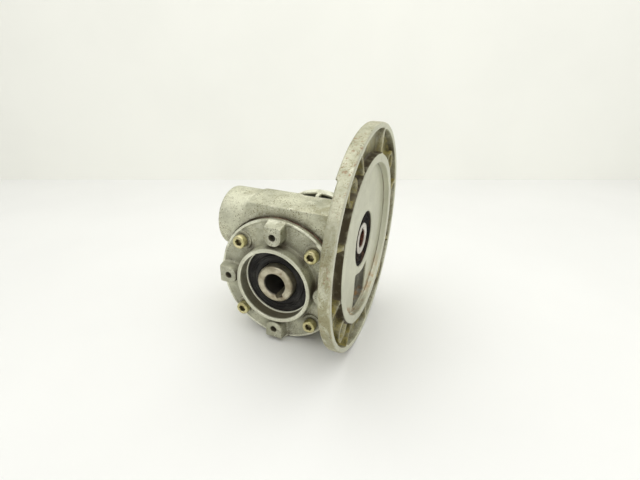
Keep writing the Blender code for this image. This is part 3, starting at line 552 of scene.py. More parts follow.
def cast_pieces():
    case_low = (TUBE_END, -FLANGE_RADIUS, -BODY_RADIUS)
    case_high = (FLANGE_FACE, FLANGE_RADIUS, CENTRE_DISTANCE + FLANGE_RADIUS)
    case = from_field("gearcase_casting", gearcase_field, case_low, case_high, 0.55, 190_000)
    round_low, round_high = -BODY_RADIUS, BODY_RADIUS
    cover = from_field(
        "cover_casting",
        front_cover_field,
        (round_low, -BOSS_FACE, round_low),
        (round_high, -SPIGOT_NOSE_BACK, round_high),
        0.36,
    )
    flange = from_field(
        "output_flange_casting",
        output_flange_field,
        (round_low, SPIGOT_NOSE_BACK, round_low),
        (round_high, DISC_BACK, round_high),
        0.5,
        110_000,
    )
    return case, cover, flange


# ---------------------------------------------------------------- shafts


def output_shaft_field(x, y, z):
    radial, out = np.hypot(x, z), np.abs(y)
    chamfer, mouth_chamfer, shoulder_radius, shoulder_end, hub_end = 1.1, 0.9, 14.8, 6.7, 6.0
    keyway_angle, keyway_half_width, keyway_top = -66, 2.5, 9.3
    slant = (radial + out - SHAFT_RADIUS - SHAFT_END + chamfer) * 0.7
    body = meet(0.4, radial - SHAFT_RADIUS, out - SHAFT_END, slant)
    shoulder = meet(0.4, radial - shoulder_radius, out - shoulder_end)
    hub = meet(0.4, radial - HUB_RADIUS, out - hub_end)
    shaft = np.minimum.reduce([body, shoulder, hub])
    mouth = radial - SHAFT_BORE_RADIUS - np.maximum(out - SHAFT_END + mouth_chamfer, 0)
    along, side = turned_coordinates(x, z, keyway_angle)
    keyway = np.maximum(np.abs(side) - keyway_half_width, between(along, 0, keyway_top))
    return cut(0.35, shaft, mouth, keyway)


def worm_shaft_field(x, y, z):
    up = z - CENTRE_DISTANCE
    radial = np.hypot(y, up)
    root, tip, pitch_radius, lead = 6.67, 9.84, 8.4, math.pi * WORM_MODULE
    thread_end, flank_angle, mouth_chamfer = 14.5, math.radians(20), 0.8
    body = meet(0.4, radial - 10.0, between(x, 18.5, WORM_SHAFT_FRONT))
    collar = meet(0.3, radial - WORM_COLLAR_RADIUS, between(x, 29.3, 32.0))
    core = np.maximum(radial - root, between(x, -17.5, 19.0))
    rear = meet(0.3, radial - 8.5, between(x, -28.0, -17.0))
    tail = meet(0.5, radial - 6.0, between(x, WORM_SHAFT_REAR, -17.0))
    tail = cut(0.15, tail, np.maximum(5.4 - radial, between(x, *CLIP_GROOVE)))
    turn = (np.arctan2(up, y) + math.pi / 2) / (2 * math.pi)
    apart = x / lead - turn
    apart = np.abs(apart - np.round(apart)) * lead
    half = 1.0 - (radial - pitch_radius) * math.tan(flank_angle)
    thread = meet(0.3, (apart - half) * 0.9, radial - tip, np.abs(x) - thread_end)
    shaft = np.minimum.reduce([body, collar, core, rear, tail, thread])
    mouth = np.maximum(x - WORM_SHAFT_FRONT + mouth_chamfer, 0)
    bore_end, keyway_half_width, keyway_top, keyway_end = 22.0, 2.0, 7.3, 24.0
    bore = radial - WORM_SHAFT_BORE_RADIUS - mouth
    bore = np.maximum(bore, bore_end - x)
    keyway = np.maximum(between(up, 0, keyway_top), keyway_end - x)
    keyway = np.maximum(np.abs(y) - keyway_half_width, keyway)
    return cut(0.35, shaft, bore, keyway)


def shaft_pieces():
    step = 0.34
    low = (-HUB_RADIUS, -SHAFT_END, -HUB_RADIUS)
    high = (HUB_RADIUS, SHAFT_END, HUB_RADIUS)
    shaft = from_field("hollow_output_shaft", output_shaft_field, low, high, step, 60_000)
    low = (WORM_SHAFT_REAR, -WORM_COLLAR_RADIUS, CENTRE_DISTANCE - WORM_COLLAR_RADIUS)
    high = (WORM_SHAFT_FRONT, WORM_COLLAR_RADIUS, CENTRE_DISTANCE + WORM_COLLAR_RADIUS)
    worm = from_field("hollow_worm_shaft", worm_shaft_field, low, high, step, 70_000)
    return shaft, worm


# ---------------------------------------------------------------- seals, gaskets, cap and screws


def rubber_lip(sign, low, high, outer, inner):
    """Half section of a shaft seal, with moulded rings in its face."""
    middle = (outer + inner) / 2
    depth = high - low
    face = [
        (outer, low),
        (outer, high - 0.3),
        (outer - 0.5, high),
        (middle + 1.9, high),
        (middle + 1.5, high - 0.8),
        (middle + 0.7, high - 0.8),
        (middle + 0.3, high - 0.1),
        (middle - 0.4, high - 0.1),
        (middle - 0.8, high - 0.9),
        (inner + 1.6, high - 1.1),
        (inner + 0.9, high - 0.5),
        (inner, high - 0.9),
        (inner + 0.5, high - 0.35 * depth),
        (inner + 1.3, low),
    ]
    return [(radius, sign * along) for radius, along in rounded(face, 0.25, 3)]


def output_seal(name, sign):
    profile = rubber_lip(sign, low=18.7, high=24.4, outer=22.3, inner=12.75)
    return lathe(name, profile, "Y")


def input_seal():
    profile = rubber_lip(1, low=40.6, high=47.2, outer=17.5, inner=10.25)
    return lathe("input_lip_seal", profile, "X", centre=(0, 0, CENTRE_DISTANCE))


def gasket(name, sign):
    """Thin packing, squeezed a little unevenly past the joint."""
    inner, outer, bulge, low, high = 30.8, 41.7, 0.15, 20.0, 20.6
    middle = (low + high) / 2
    profile = [(inner, low), (outer, low), (outer + bulge, middle), (outer, high), (inner, high)]

    def wave(angle, j):
        return 1 + 0.0016 * math.sin(9 * angle + j) + 0.0010 * math.sin(23 * angle + 2.0)

    return lathe(name, [(r, sign * out) for r, out in profile], "Y", 192, wave=wave)


def end_cap():
    face, depth, radius, dish = TUBE_END + 0.5, 4.5, 15.9, 1.6
    profile = [
        (0, face + depth, 0),
        (radius, face + depth),
        (radius, face),
        (radius - 1.8, face),
        (radius - 2.6, face + dish),
        (5.0, face + dish),
        (4.2, face + dish - 0.4),
        (0, face + dish - 0.4, 0),
    ]
    return lathe("worm_tube_cap", rounded(profile, 0.5), "X", centre=(0, 0, CENTRE_DISTANCE))


def cap_screw(name, sign, degrees):
    """A socket cap screw: knurled head, hexagon socket and plain shank."""
    seat, top, head, socket = PAD_FACE + 0.3, 30.4, 4.25, 2.3
    profile = [
        (0, seat - 11.9),
        (2.1, seat - 11.9),
        (2.5, seat - 11.4),
        (2.5, seat),
        (head - 0.15, seat),
        (head, seat + 0.2),
        (head, top - 0.75),
        (head - 0.2, top - 0.3),
        (head - 0.65, top),
        (socket + 0.25, top),
        (socket, top - 0.25),
        (socket, top - 2.5),
        (0, top - 2.7),
    ]
    knurled, flats = (5, 6), (9, 10, 11)
    flat = math.pi / 3

    def wave(angle, j):
        if j in knurled:
            return 1 + 0.012 * math.cos(32 * angle)
        if j in flats:
            return 0.93 / math.cos((angle + flat / 2) % flat - flat / 2)
        return 1

    angle = math.radians(degrees)
    centre = (SCREW_CIRCLE_RADIUS * math.cos(angle), 0, SCREW_CIRCLE_RADIUS * math.sin(angle))
    return lathe(name, [(r, sign * out) for r, out in profile], "Y", 96, centre, wave)


# ---------------------------------------------------------------- material nodes


class Nodes:
    """A material's node tree, with short calls for the nodes used here."""

    def __init__(self, name):
        self.material = bpy.data.materials.new(name)
        self.material.use_nodes = True
        self.tree = self.material.node_tree
        self.shader = self.tree.nodes["Principled BSDF"]
        self.place = self.tree.nodes.new("ShaderNodeTexCoord").outputs["Object"]

    def put(self, socket, value):
        if isinstance(value, bpy.types.NodeSocket):
            self.tree.links.new(value, socket)
        elif isinstance(value, tuple) and len(value) == 3 and socket.type == "RGBA":
            socket.default_value = (*value, 1)
        else:
            socket.default_value = value

    def node(self, kind, inputs):
        """A new node, with values or links put into its inputs by name or number."""
        node = self.tree.nodes.new("ShaderNode" + kind)
        for key, value in inputs.items():
            self.put(node.inputs[key], value)
        return node

    def math(self, operation, a, b=0.0, clamp=False):
        node = self.node("Math", {0: a, 1: b})
        node.operation = operation
        node.use_clamp = clamp
        return node.outputs[0]

    def times(self, product, *others):
        """The product of all the values."""
        for other in others:
            product = self.math("MULTIPLY", product, other)
        return product

    def noise(self, scale, detail=4.0, roughness=0.55, distortion=0.0, stretch=None):
        vector = self.place
        if stretch:
            vector = self.node("Mapping", {"Vector": vector, "Scale": stretch}).outputs["Vector"]
        grain = {"Scale": scale, "Detail": detail, "Roughness": roughness, "Distortion": distortion}
        return self.node("TexNoise", {"Vector": vector, **grain}).outputs["Fac"]

    def cells(self, scale):
        return self.node("TexVoronoi", {"Vector": self.place, "Scale": scale}).outputs["Distance"]

    def ramp(self, value, low, high, start=0.0, end=1.0):
        """The value, eased from start at low to end at high."""
        limits = {"From Min": low, "From Max": high, "To Min": start, "To Max": end}
        node = self.node("MapRange", {"Value": value, **limits})
        node.interpolation_type = "SMOOTHSTEP"
        return node.outputs["Result"]

    def past(self, place, low, high, start=0.0, end=1.0):
        """A ramp over a place, with its limits in millimetres from the place's origin."""
        value, origin = place
        return self.ramp(value, origin + low * MM, origin + high * MM, start, end)

    def belt(self, place, low, high, soft):
        """One between two places in millimetres, with soft ends."""
        rise = self.past(place, low - soft, low + soft)
        fall = self.past(place, high - soft, high + soft, 1.0, 0.0)
        return self.times(rise, fall)

    def patches(self, scale, low, high, start=0.0, end=1.0, **grain):
        """Noise eased into patches: start where it is below low, end where it is above high."""
        return self.ramp(self.noise(scale, **grain), low, high, start, end)

    def mix(self, share, a, b):
        """Two colours mixed. The node keeps its sockets for colours after those for numbers."""
        node = self.tree.nodes.new("ShaderNodeMix")
        node.data_type = "RGBA"
        self.put(node.inputs[0], share)
        self.put(node.inputs[6], a)
        self.put(node.inputs[7], b)
        return node.outputs[2]

    def blend(self, share, a, b):
        """Two numbers mixed."""
        return self.node("Mix", {0: share, 2: a, 3: b}).outputs[0]

    def coat(self, under, over, *shares):
        """A colour laid over another, as far as all the shares together let it."""
        return self.mix(self.times(*shares), under, over)

    def corners(self, distance):
        """Painted shade and dirt: near one in the occluded corners where shade falls and dirt settles,
        and zero in the open.
        """
        node = self.node("AmbientOcclusion", {"Distance": distance})
        node.samples = 8
        return self.ramp(node.outputs["AO"], 0.42, 0.98, 1.0, 0.0)

    def axes(self):
        return self.node("SeparateXYZ", {0: self.place}).outputs

    def height(self):
        """The place up the frame's Z. A place is a value in metres and its origin."""
        return self.axes()[2], OUTPUT_AXIS.z

    def about(self, centre, along):
        """The place out from an axis through the centre, and the place along that axis."""
        xyz = self.axes()
        others = [i for i in range(3) if i != along]
        parts = [self.math("SUBTRACT", xyz[i], centre[i]) for i in others]
        squares = [self.times(part, part) for part in parts]
        total = self.math("ADD", *squares)
        return (self.math("SQRT", total), 0.0), (xyz[along], OUTPUT_AXIS[along])

    def bump(self, height, strength, distance):
        node = self.node("Bump", {"Strength": strength, "Distance": distance, "Height": height})
        previous = self.shader.inputs["Normal"].links
        if previous:
            self.tree.links.new(previous[0].from_socket, node.inputs["Normal"])
        self.tree.links.new(node.outputs["Normal"], self.shader.inputs["Normal"])

    def done(self, colour, roughness, metallic):
        self.put(self.shader.inputs["Base Color"], colour)
        self.put(self.shader.inputs["Roughness"], roughness)
        self.put(self.shader.inputs["Metallic"], metallic)
        return self.material


ALUMINIUM = (0.68, 0.68, 0.53)
ALUMINIUM_DARK = (0.40, 0.402, 0.296)
ALUMINIUM_LIGHT = (0.88, 0.88, 0.73)
MACHINED = (0.545, 0.545, 0.43)
# Dark brown: real dirt and pits, and painted shade in corners.
DIRT_AND_SHADE = (0.08, 0.064, 0.036)
GREASE = (0.105, 0.092, 0.032)
STAIN = (0.285, 0.26, 0.155)
OLIVE = (0.29, 0.262, 0.135)
YELLOWED = (0.34, 0.285, 0.075)
RUST = (0.27, 0.13, 0.06)
RUST_STREAK = (0.37, 0.19, 0.05)
PITTED = (0.33, 0.325, 0.255)
SHADED = (0.11, 0.112, 0.095)
# Painted shade for the cast pocket, darker and lighter.
POCKET_SHADE_DARK = (0.14, 0.137, 0.112)
POCKET_SHADE_LIGHT = (0.265, 0.258, 0.208)
OLD_OIL = (0.15, 0.128, 0.075)
BLACK = (0.012, 0.011, 0.01)
CAST_METALLIC = 0.68
DIRT_METALLIC_LOSS = 0.6


def cast_colour(n):
    """Tumbled aluminium casting: cloudy greys, fine grit, pits and stains."""
    clouds = n.patches(38, 0.36, 0.66, detail=5, roughness=0.6)
    colour = n.mix(clouds, ALUMINIUM_DARK, ALUMINIUM)
    bright = n.patches(120, 0.50, 0.72, detail=4, roughness=0.6)
    colour = n.coat(colour, ALUMINIUM_LIGHT, bright, 0.6)
    stains = n.patches(26, 0.54, 0.72, detail=6, roughness=0.68, distortion=0.6)
    colour = n.coat(colour, STAIN, stains, 0.5)
    grit = n.patches(1000, 0.50, 0.62, detail=4, roughness=0.75)
    patchy = n.patches(85, 0.38, 0.60, 0.25, 0.95, detail=4, roughness=0.6)
    colour = n.coat(colour, STAIN, grit, patchy)
    specks = n.ramp(n.cells(600), 0.12, 0.26, 1.0, 0.0)
    some = n.patches(110, 0.48, 0.58, detail=3)
    return n.coat(colour, DIRT_AND_SHADE, specks, some)


def cast_surface(n):
    """Fine cast grain and a few larger dents."""
    n.bump(n.noise(900, 3, 0.6), strength=0.55, distance=0.25 * MM)
    n.bump(n.noise(160, 3, 0.5), strength=0.45, distance=0.6 * MM)


def turning_marks(n, radius):
    """Fine rings that a lathe leaves, as a height from the distance to the axis."""
    turns_per_metre = 9000.0
    rings = n.math("SINE", n.times(radius[0], turns_per_metre))
    n.bump(rings, strength=0.10, distance=0.06 * MM)


def machined_faces(n, colour, radius, x, in_recess):
    """The rim, the pilot ring and the recess floor, turned smooth and then worn and nicked."""
    faces = n.past(x, FLANGE_FACE - 0.6, FLANGE_FACE - 0.3)
    floor = n.past(x, RECESS_FLOOR - 0.8, RECESS_FLOOR - 0.3)
    machined = n.math("MAXIMUM", faces, n.times(floor, in_recess), True)
    worn = n.patches(60, 0.38, 0.70, detail=5, roughness=0.62)
    bare = n.coat(MACHINED, ALUMINIUM, worn, 0.5)
    smears = n.patches(24, 0.56, 0.74, detail=5, roughness=0.7, distortion=1.0)
    bare = n.coat(bare, STAIN, smears, 0.5)
    nicks = n.patches(700, 0.60, 0.70, detail=4, roughness=0.75)
    bare = n.coat(bare, STAIN, nicks, 0.35)
    return n.mix(machined, colour, bare), machined


def channel_grease(n, colour, radius, x, height):
    """Grease and grit in the flange's channel, thinner towards the top, and a dark line where
    it meets the pilot ring."""
    in_channel = n.belt(radius, PILOT_RING_RADIUS + 0.1, RIM_INSIDE - 0.1, 0.2)
    below_face = n.past(x, FLANGE_FACE - 0.9, FLANGE_FACE - 0.4, 1.0, 0.0)
    ahead = n.past(x, CHANNEL_FLOOR - 1.6, CHANNEL_FLOOR - 1.0)
    channel = n.times(in_channel, below_face, ahead)
    greasy = n.mix(n.patches(170, 0.38, 0.66, detail=6, roughness=0.75), GREASE, YELLOWED)
    gritty = n.patches(65, 0.42, 0.62, 1.0, 0.60, detail=5, roughness=0.65)
    top = n.past(height, CENTRE_DISTANCE + 50, CENTRE_DISTANCE + 64, 1.0, 0.45)
    colour = n.coat(colour, greasy, channel, gritty, top)
    ring_side = n.past(x, FLANGE_FACE - 0.6, FLANGE_FACE - 0.2, 1.0, 0.0)
    ring_side = n.times(ring_side, ahead)
    ring_line = n.belt(radius, PILOT_RING_RADIUS - 0.5, PILOT_RING_RADIUS + 1.0, 0.2)
    broken = n.patches(150, 0.30, 0.52, 0.4, 1.0)
    return n.coat(colour, DIRT_AND_SHADE, n.times(ring_line, ring_side), broken), channel


def rim_film(n, colour, radius, height):
    """The rim's outside: an oily film low down, and small rust specks."""
    outside = n.past(radius, FLANGE_RADIUS - 0.8, FLANGE_RADIUS - 0.4)
    low_down = n.past(height, CENTRE_DISTANCE + 5, CENTRE_DISTANCE + 45, 1.0, 0.15)
    streaks = n.patches(
        60, 0.40, 0.58, detail=6, roughness=0.75, distortion=0.8, stretch=(2.6, 1.0, 1.0)
    )
    colour = n.coat(colour, OLIVE, outside, n.times(streaks, low_down), 0.7)
    freckles = n.patches(560, 0.55, 0.64, detail=4, roughness=0.7)
    freckles = n.times(freckles, n.patches(60, 0.42, 0.58, detail=3))
    return n.coat(colour, RUST, outside, freckles, 0.6)


def recess_marks(n, colour, radius, x, height, in_recess):
    """Painted shade in the cast pocket in the recess floor, rust along the recess's lower edge, and old
    oil in the corner round its floor."""
    across = (n.math("ABSOLUTE", n.math("SUBTRACT", n.axes()[1], OUTPUT_AXIS.y)), 0.0)
    deep = n.past(x, RECESS_FLOOR - 1.6, RECESS_FLOOR - 0.8, 1.0, 0.0)
    deep = n.times(deep, in_recess)
    deep = n.times(deep, n.past(x, RECESS_FLOOR - 6.6, RECESS_FLOOR - 5.6))
    deep = n.times(deep, n.past(across, POCKET_HALF_WIDTH + 0.1, POCKET_HALF_WIDTH + 0.5, 1.0, 0.0))
    deep = n.times(deep, n.past(height, POCKET_TOP, POCKET_TOP + 0.6, 1.0, 0.0))
    # Painted shade: the pocket below the recess floor is coloured dark grey.
    pocket_shade = n.mix(n.patches(110, 0.42, 0.66, detail=4, roughness=0.6), POCKET_SHADE_DARK, POCKET_SHADE_LIGHT)
    colour = n.coat(colour, pocket_shade, deep, 0.9)
    rusted = n.patches(60, 0.42, 0.54, detail=5, roughness=0.7)
    wall = n.belt(radius, PILOT_RADIUS - 3.5, PILOT_RADIUS + 0.3, 1.2)
    wall = n.times(wall, n.past(x, FLANGE_FACE - 1.0, FLANGE_FACE - 1.6))
    low = n.past(height, CENTRE_DISTANCE - 34, CENTRE_DISTANCE - 24, 1.0, 0.0)
    low_wall = n.times(wall, low)
    colour = n.coat(colour, RUST_STREAK, rusted, low_wall, 0.75)
    floor_corner = n.belt(radius, PILOT_RADIUS - 0.9, PILOT_RADIUS + 0.3, 0.3)
    at_floor = n.belt(x, RECESS_FLOOR - 0.4, RECESS_FLOOR + 0.6, 0.2)
    broken = n.patches(60, 0.30, 0.70, 0.45, 0.95, detail=3)
    return n.coat(colour, OLD_OIL, n.times(floor_corner, at_floor), broken)


def gearcase_material():
    n = Nodes("gearcase_aluminium")
    radius, x = n.about(WORM_AXIS, 0)
    height = n.height()
    colour = cast_colour(n)
    # Brown film, strongest close to the flange.
    filmed = n.patches(90, 0.44, 0.58, detail=6, roughness=0.75)
    near_rim = n.past(x, FLANGE_FACE - 45, FLANGE_FACE - 12, 0.15, 1.0)
    near_rim = n.times(near_rim, n.past(radius, 26, 38, 1.0, 0.25))
    colour = n.coat(colour, OLIVE, filmed, near_rim, 0.75)
    # Painted shade and dirt: darker in occluded corners and creases, broken up in patches.
    settled_dirt = n.patches(90, 0.30, 0.54, 0.15, 1.0, detail=5, roughness=0.65)
    dirt_and_shade = n.times(n.corners(6 * MM), settled_dirt)
    colour = n.mix(dirt_and_shade, colour, DIRT_AND_SHADE)
    in_recess = n.past(radius, PILOT_RADIUS, PILOT_RADIUS + 0.4, 1.0, 0.0)
    colour, machined = machined_faces(n, colour, radius, x, in_recess)
    colour, channel = channel_grease(n, colour, radius, x, height)
    colour = rim_film(n, colour, radius, height)
    colour = recess_marks(n, colour, radius, x, height, in_recess)
    cast_surface(n)
    turning_marks(n, radius)
    cast_roughness = n.patches(50, 0.3, 0.7, 0.50, 0.68, detail=3)
    machined_roughness = 0.40
    roughness = n.blend(machined, cast_roughness, machined_roughness)
    covered = n.times(n.math("MAXIMUM", dirt_and_shade, channel, True), DIRT_METALLIC_LOSS)
    return n.done(colour, roughness, n.math("SUBTRACT", CAST_METALLIC, covered))


def edge_highlights_and_wear(n, radius, out):
    """Painted highlights: the edges of the boss and of the plate, broken up by wear, the boss's face,
    and the step that the seal sits in."""
    worn = n.patches(130, 0.34, 0.56, detail=4, roughness=0.65)
    boss_edge = n.belt(radius, BOSS_BORE_RADIUS, BOSS_BORE_RADIUS + 0.8, 0.3)
    boss_edge = n.times(boss_edge, n.past(out, BOSS_FACE - 0.6, BOSS_FACE - 0.2))
    plate_edge = n.past(radius, BODY_RADIUS - 1.8, BODY_RADIUS - 1.3)
    plate_edge = n.times(plate_edge, n.past(out, PLATE_FACE - 0.8, PLATE_FACE - 0.3))
    seal_step = n.belt(radius, BOSS_BORE_RADIUS - 0.7, BOSS_BORE_RADIUS, 0.2)
    seal_step = n.times(seal_step, n.belt(out, PLATE_FACE - 0.5, PLATE_FACE + 0.5, 0.2))
    bright = n.times(n.math("MAXIMUM", boss_edge, plate_edge), n.times(worn, 0.8))
    boss_flat = n.belt(radius, BOSS_BORE_RADIUS - 0.2, BOSS_RADIUS - 0.1, 0.2)
    boss_flat = n.times(boss_flat, n.past(out, BOSS_FACE - 0.6, BOSS_FACE - 0.2, 0.0, 0.4))
    bright = n.math("MAXIMUM", bright, boss_flat)
    return n.math("MAXIMUM", bright, seal_step, True)


def cover_material(name, sign):
    """Cast plate with painted highlights on its edges, broken up by wear; sign tells which way it faces
    along Y.
    """
    n = Nodes(name)
    radius, y = n.about(OUTPUT_AXIS, 1)
    out = (n.times(n.math("SUBTRACT", *y), float(sign)), 0.0)
    colour = cast_colour(n)
    film = n.patches(48, 0.40, 0.62, detail=5, roughness=0.68)
    colour = n.coat(colour, PITTED, film, 0.45)
    # Painted shade and dirt: darker in occluded corners and creases, broken up in patches.
    dirt_and_shade = n.times(n.corners(6 * MM), n.patches(95, 0.28, 0.55, detail=5, roughness=0.65))
    colour = n.coat(colour, DIRT_AND_SHADE, dirt_and_shade, 0.95)
    bright = edge_highlights_and_wear(n, radius, out)
    # Old oil inside the boss, thickest at the bottom.
    in_mouth = n.past(radius, BOSS_BORE_RADIUS + 0.2, BOSS_BORE_RADIUS + 0.5, 1.0, 0.0)
    in_mouth = n.times(in_mouth, n.belt(out, PLATE_FACE + 0.4, BOSS_FACE - 1.2, 0.3))
    oily = n.past(n.height(), -18, -4, 0.85, 0.40)
    colour = n.coat(colour, OLD_OIL, in_mouth, oily)
    # Painted highlights on the edges, the boss's face and the seal's step.
    colour = n.mix(bright, colour, ALUMINIUM_LIGHT)
    if sign > 0:
        # Painted shade: the hollow behind the round mounting disc is coloured near black.
        hollow = n.belt(out, DISC_FRONT + 0.4, DISC_FRONT + DISC_HOLLOW + 0.6, 0.6)
        rim = BODY_RADIUS - DISC_RIM
        hollow = n.times(hollow, n.past(radius, rim - 0.1, rim + 0.3, 1.0, 0.0))
        outside_neck = n.past(radius, NECK_RADIUS - 0.2, NECK_RADIUS + 0.6)
        colour = n.coat(colour, SHADED, hollow, outside_neck, 0.85)
    cast_surface(n)
    roughness = n.patches(50, 0.3, 0.7, 0.46, 0.66, detail=3)
    metallic = n.math("SUBTRACT", CAST_METALLIC, n.times(dirt_and_shade, DIRT_METALLIC_LOSS))
    return n.done(colour, roughness, metallic)


def output_shaft_material():
    n = Nodes("oily_output_shaft_steel")
    radius, _ = n.about(OUTPUT_AXIS, 1)
    dark_steel, light_steel = (0.34, 0.30, 0.205), (0.58, 0.54, 0.41)
    old_rust, bore_shade = (0.17, 0.095, 0.055), (0.045, 0.04, 0.034)
    clouds = n.patches(130, 0.35, 0.68, detail=5, roughness=0.6)
    colour = n.mix(clouds, dark_steel, light_steel)
    rusty = n.patches(170, 0.56, 0.70, detail=5, roughness=0.7)
    colour = n.coat(colour, old_rust, rusty, 0.6)
    # Painted shade: the inside of the bore is coloured near black.
    bore = n.past(radius, SHAFT_BORE_RADIUS + 0.2, SHAFT_BORE_RADIUS + 1.0, 1.0, 0.0)
    colour = n.coat(colour, bore_shade, bore, 0.9)
    turning_marks(n, radius)
    n.bump(n.noise(700, 3, 0.6), strength=0.3, distance=0.1 * MM)
    return n.done(colour, n.patches(90, 0.3, 0.7, 0.32, 0.52, detail=3), 0.75)


def worm_shaft_material():
    n = Nodes("ground_worm_steel")
    radius, _ = n.about(WORM_AXIS, 0)
    dark_steel, light_steel = (0.42, 0.39, 0.33), (0.64, 0.62, 0.56)
    dark_rust, light_rust = (0.07, 0.03, 0.02), (0.16, 0.065, 0.035)
    colour = n.mix(n.patches(140, 0.35, 0.68), dark_steel, light_steel)
    bore = n.past(radius, WORM_SHAFT_BORE_RADIUS + 0.1, WORM_SHAFT_BORE_RADIUS + 0.7, 1.0, 0.0)
    rusty = n.mix(n.patches(200, 0.4, 0.6, roughness=0.7), dark_rust, light_rust)
    colour = n.mix(bore, colour, rusty)
    turning_marks(n, radius)
    return n.done(colour, n.patches(90, 0.3, 0.7, 0.24, 0.42, detail=3), 0.85)


def rubber_material(name, dusty, dust_share, roughness, specular):
    n = Nodes(name)
    dust = n.patches(90, 0.46, 0.72, detail=5, roughness=0.7)
    colour = n.coat(BLACK, dusty, dust, dust_share)
    n.bump(n.noise(500, 3), strength=0.2, distance=0.1 * MM)
    n.shader.inputs["Specular IOR Level"].default_value = specular
    rough = n.patches(60, 0.3, 0.7, roughness, roughness + 0.22, detail=3)
    return n.done(colour, rough, 0.0)


def gasket_material():
    n = Nodes("rust_stained_gasket")
    dark_rust, light_rust = (0.12, 0.055, 0.036), (0.34, 0.135, 0.08)
    stains = n.patches(130, 0.40, 0.64, detail=5, roughness=0.7)
    colour = n.mix(stains, dark_rust, light_rust)
    n.bump(n.noise(600, 3), strength=0.5, distance=0.2 * MM)
    return n.done(colour, 0.8, 0.0)


def zinc_material():
    n = Nodes("yellow_zinc_plate")
    green_gold, pale_gold = (0.56, 0.52, 0.25), (0.70, 0.64, 0.38)
    dulled, socket_shade = (0.25, 0.205, 0.095), (0.05, 0.038, 0.02)
    colour = n.mix(n.patches(190, 0.35, 0.65, detail=3), green_gold, pale_gold)
    dull = n.patches(260, 0.50, 0.66, detail=5, roughness=0.7)
    colour = n.coat(colour, dulled, dull, 0.6)
    # Painted shade: darker in the socket and in the creases round the head.
    colour = n.coat(colour, socket_shade, n.corners(3 * MM), 0.85)
    n.bump(n.noise(800, 2), strength=0.25, distance=0.08 * MM)
    return n.done(colour, n.patches(150, 0.3, 0.7, 0.28, 0.46, detail=3), 0.8)


def plain_metal(name, dark, light, roughness):
    """Ground or stamped metal with a slight film of oil."""
    n = Nodes(name)
    colour = n.mix(n.patches(150, 0.35, 0.66, roughness=0.6), dark, light)
    n.bump(n.noise(900, 2), strength=0.15, distance=0.05 * MM)
    rough = n.patches(70, 0.3, 0.7, roughness - 0.06, roughness + 0.1, detail=3)
    return n.done(colour, rough, 0.95)


def dress(obj, made):
    obj.data.materials.clear()
    obj.data.materials.append(made)


def dress_hidden_nodes(replaced, metals):
    """Procedural materials for the CAD nodes that stay: bearings, wheel, shims and clips."""
    for name, node in frame["nodes"].items():
        if name in replaced:
            continue
        if "bearing" in name and "shim" not in name:
            made = metals["bearing"]
        elif name == "worm_wheel":
            made = metals["bronze"]
        else:
            made = metals["spring"]
        for slot in node.material_slots:
            slot.material = made


# ---------------------------------------------------------------- assembly


def use(obj, body, node, made):
    """Give a piece its material and body, and let it stand for its CAD node."""
    dress(obj, made)
    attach(obj, body)
    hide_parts(node)
    return node


def build_gearbox():
    rubber = rubber_material("dusty_seal_rubber", (0.085, 0.08, 0.068), 0.5, 0.42, 0.35)
    oily_rubber = rubber_material("oily_seal_rubber", (0.095, 0.052, 0.03), 0.85, 0.70, 0.10)
    packing, zinc = gasket_material(), zinc_material()
    case, cover, flange = cast_pieces()
    shaft, worm = shaft_pieces()
    fixed = "gearcase_set"
    cover_look = cover_material("cover_aluminium", -1)
    flange_look = cover_material("flange_aluminium", 1)
    replaced = {
        use(case, fixed, "gearcase", gearcase_material()),
        use(cover, fixed, "front_cover", cover_look),
        use(flange, fixed, "output_flange", flange_look),
        use(shaft, "output_shaft_set", "output_shaft", output_shaft_material()),
        use(worm, "worm_set", "worm_shaft", worm_shaft_material()),
        use(input_seal(), fixed, "input_seal", oily_rubber),
        use(end_cap(), fixed, "worm_end_cap", rubber),
    }
    for side, sign, screws in (("front", -1, "cover"), ("rear", 1, "flange")):
        seal = output_seal(f"{side}_lip_seal", sign)
        replaced.add(use(seal, fixed, f"{side}_output_seal", rubber))
        ring = gasket(f"{side}_packing", sign)
        replaced.add(use(ring, fixed, f"{side}_gasket", packing))
        for corner_name, degrees in SCREW_ANGLES.items():
            node = f"{screws}_screw_{corner_name}"
            screw = cap_screw(f"{node}_fine", sign, degrees)
            replaced.add(use(screw, fixed, node, zinc))
    metals = {
        "bearing": plain_metal("bearing_steel_ground", (0.42, 0.42, 0.41), (0.62, 0.62, 0.61), 0.25),
        "bronze": plain_metal("wheel_bronze", (0.40, 0.25, 0.10), (0.62, 0.42, 0.19), 0.34),
        "spring": plain_metal("phosphated_spring_steel", (0.10, 0.10, 0.10), (0.20, 0.20, 0.19), 0.40),
    }
    dress_hidden_nodes(replaced, metals)


# ---------------------------------------------------------------- table, light and camera


def table_tilt():
    """The gearbox stands on its round plates and on the motor flange's lower edge, which is a
    little higher: the angle of the table in the gearbox's own frame."""
    edge_height = CENTRE_DISTANCE - FLANGE_RADIUS
    reach = math.hypot(FLANGE_FACE, edge_height)
    return math.asin(BODY_RADIUS / reach) - math.atan2(-edge_height, FLANGE_FACE)


def stage_material(name, colour, roughness):
    n = Nodes(name)
    lighter = tuple(min(1.0, part * 1.02) for part in colour)
    return n.done(n.mix(n.ramp(n.noise(6, 3), 0.35, 0.65), colour, lighter), roughness, 0.0)


def stage_sheet(name, centre, right, ahead, size, made):
    """A flat sheet of the stage."""
    right, ahead = right * size[0] / 2, ahead * size[1] / 2
    near, far = centre - ahead, centre + ahead
    points = [near - right, near + right, far + right, far - right]
    sheet = mesh_object(name, [tuple(point) for point in points], [(0, 1, 2, 3)])
    dress(sheet, made)
    return sheet


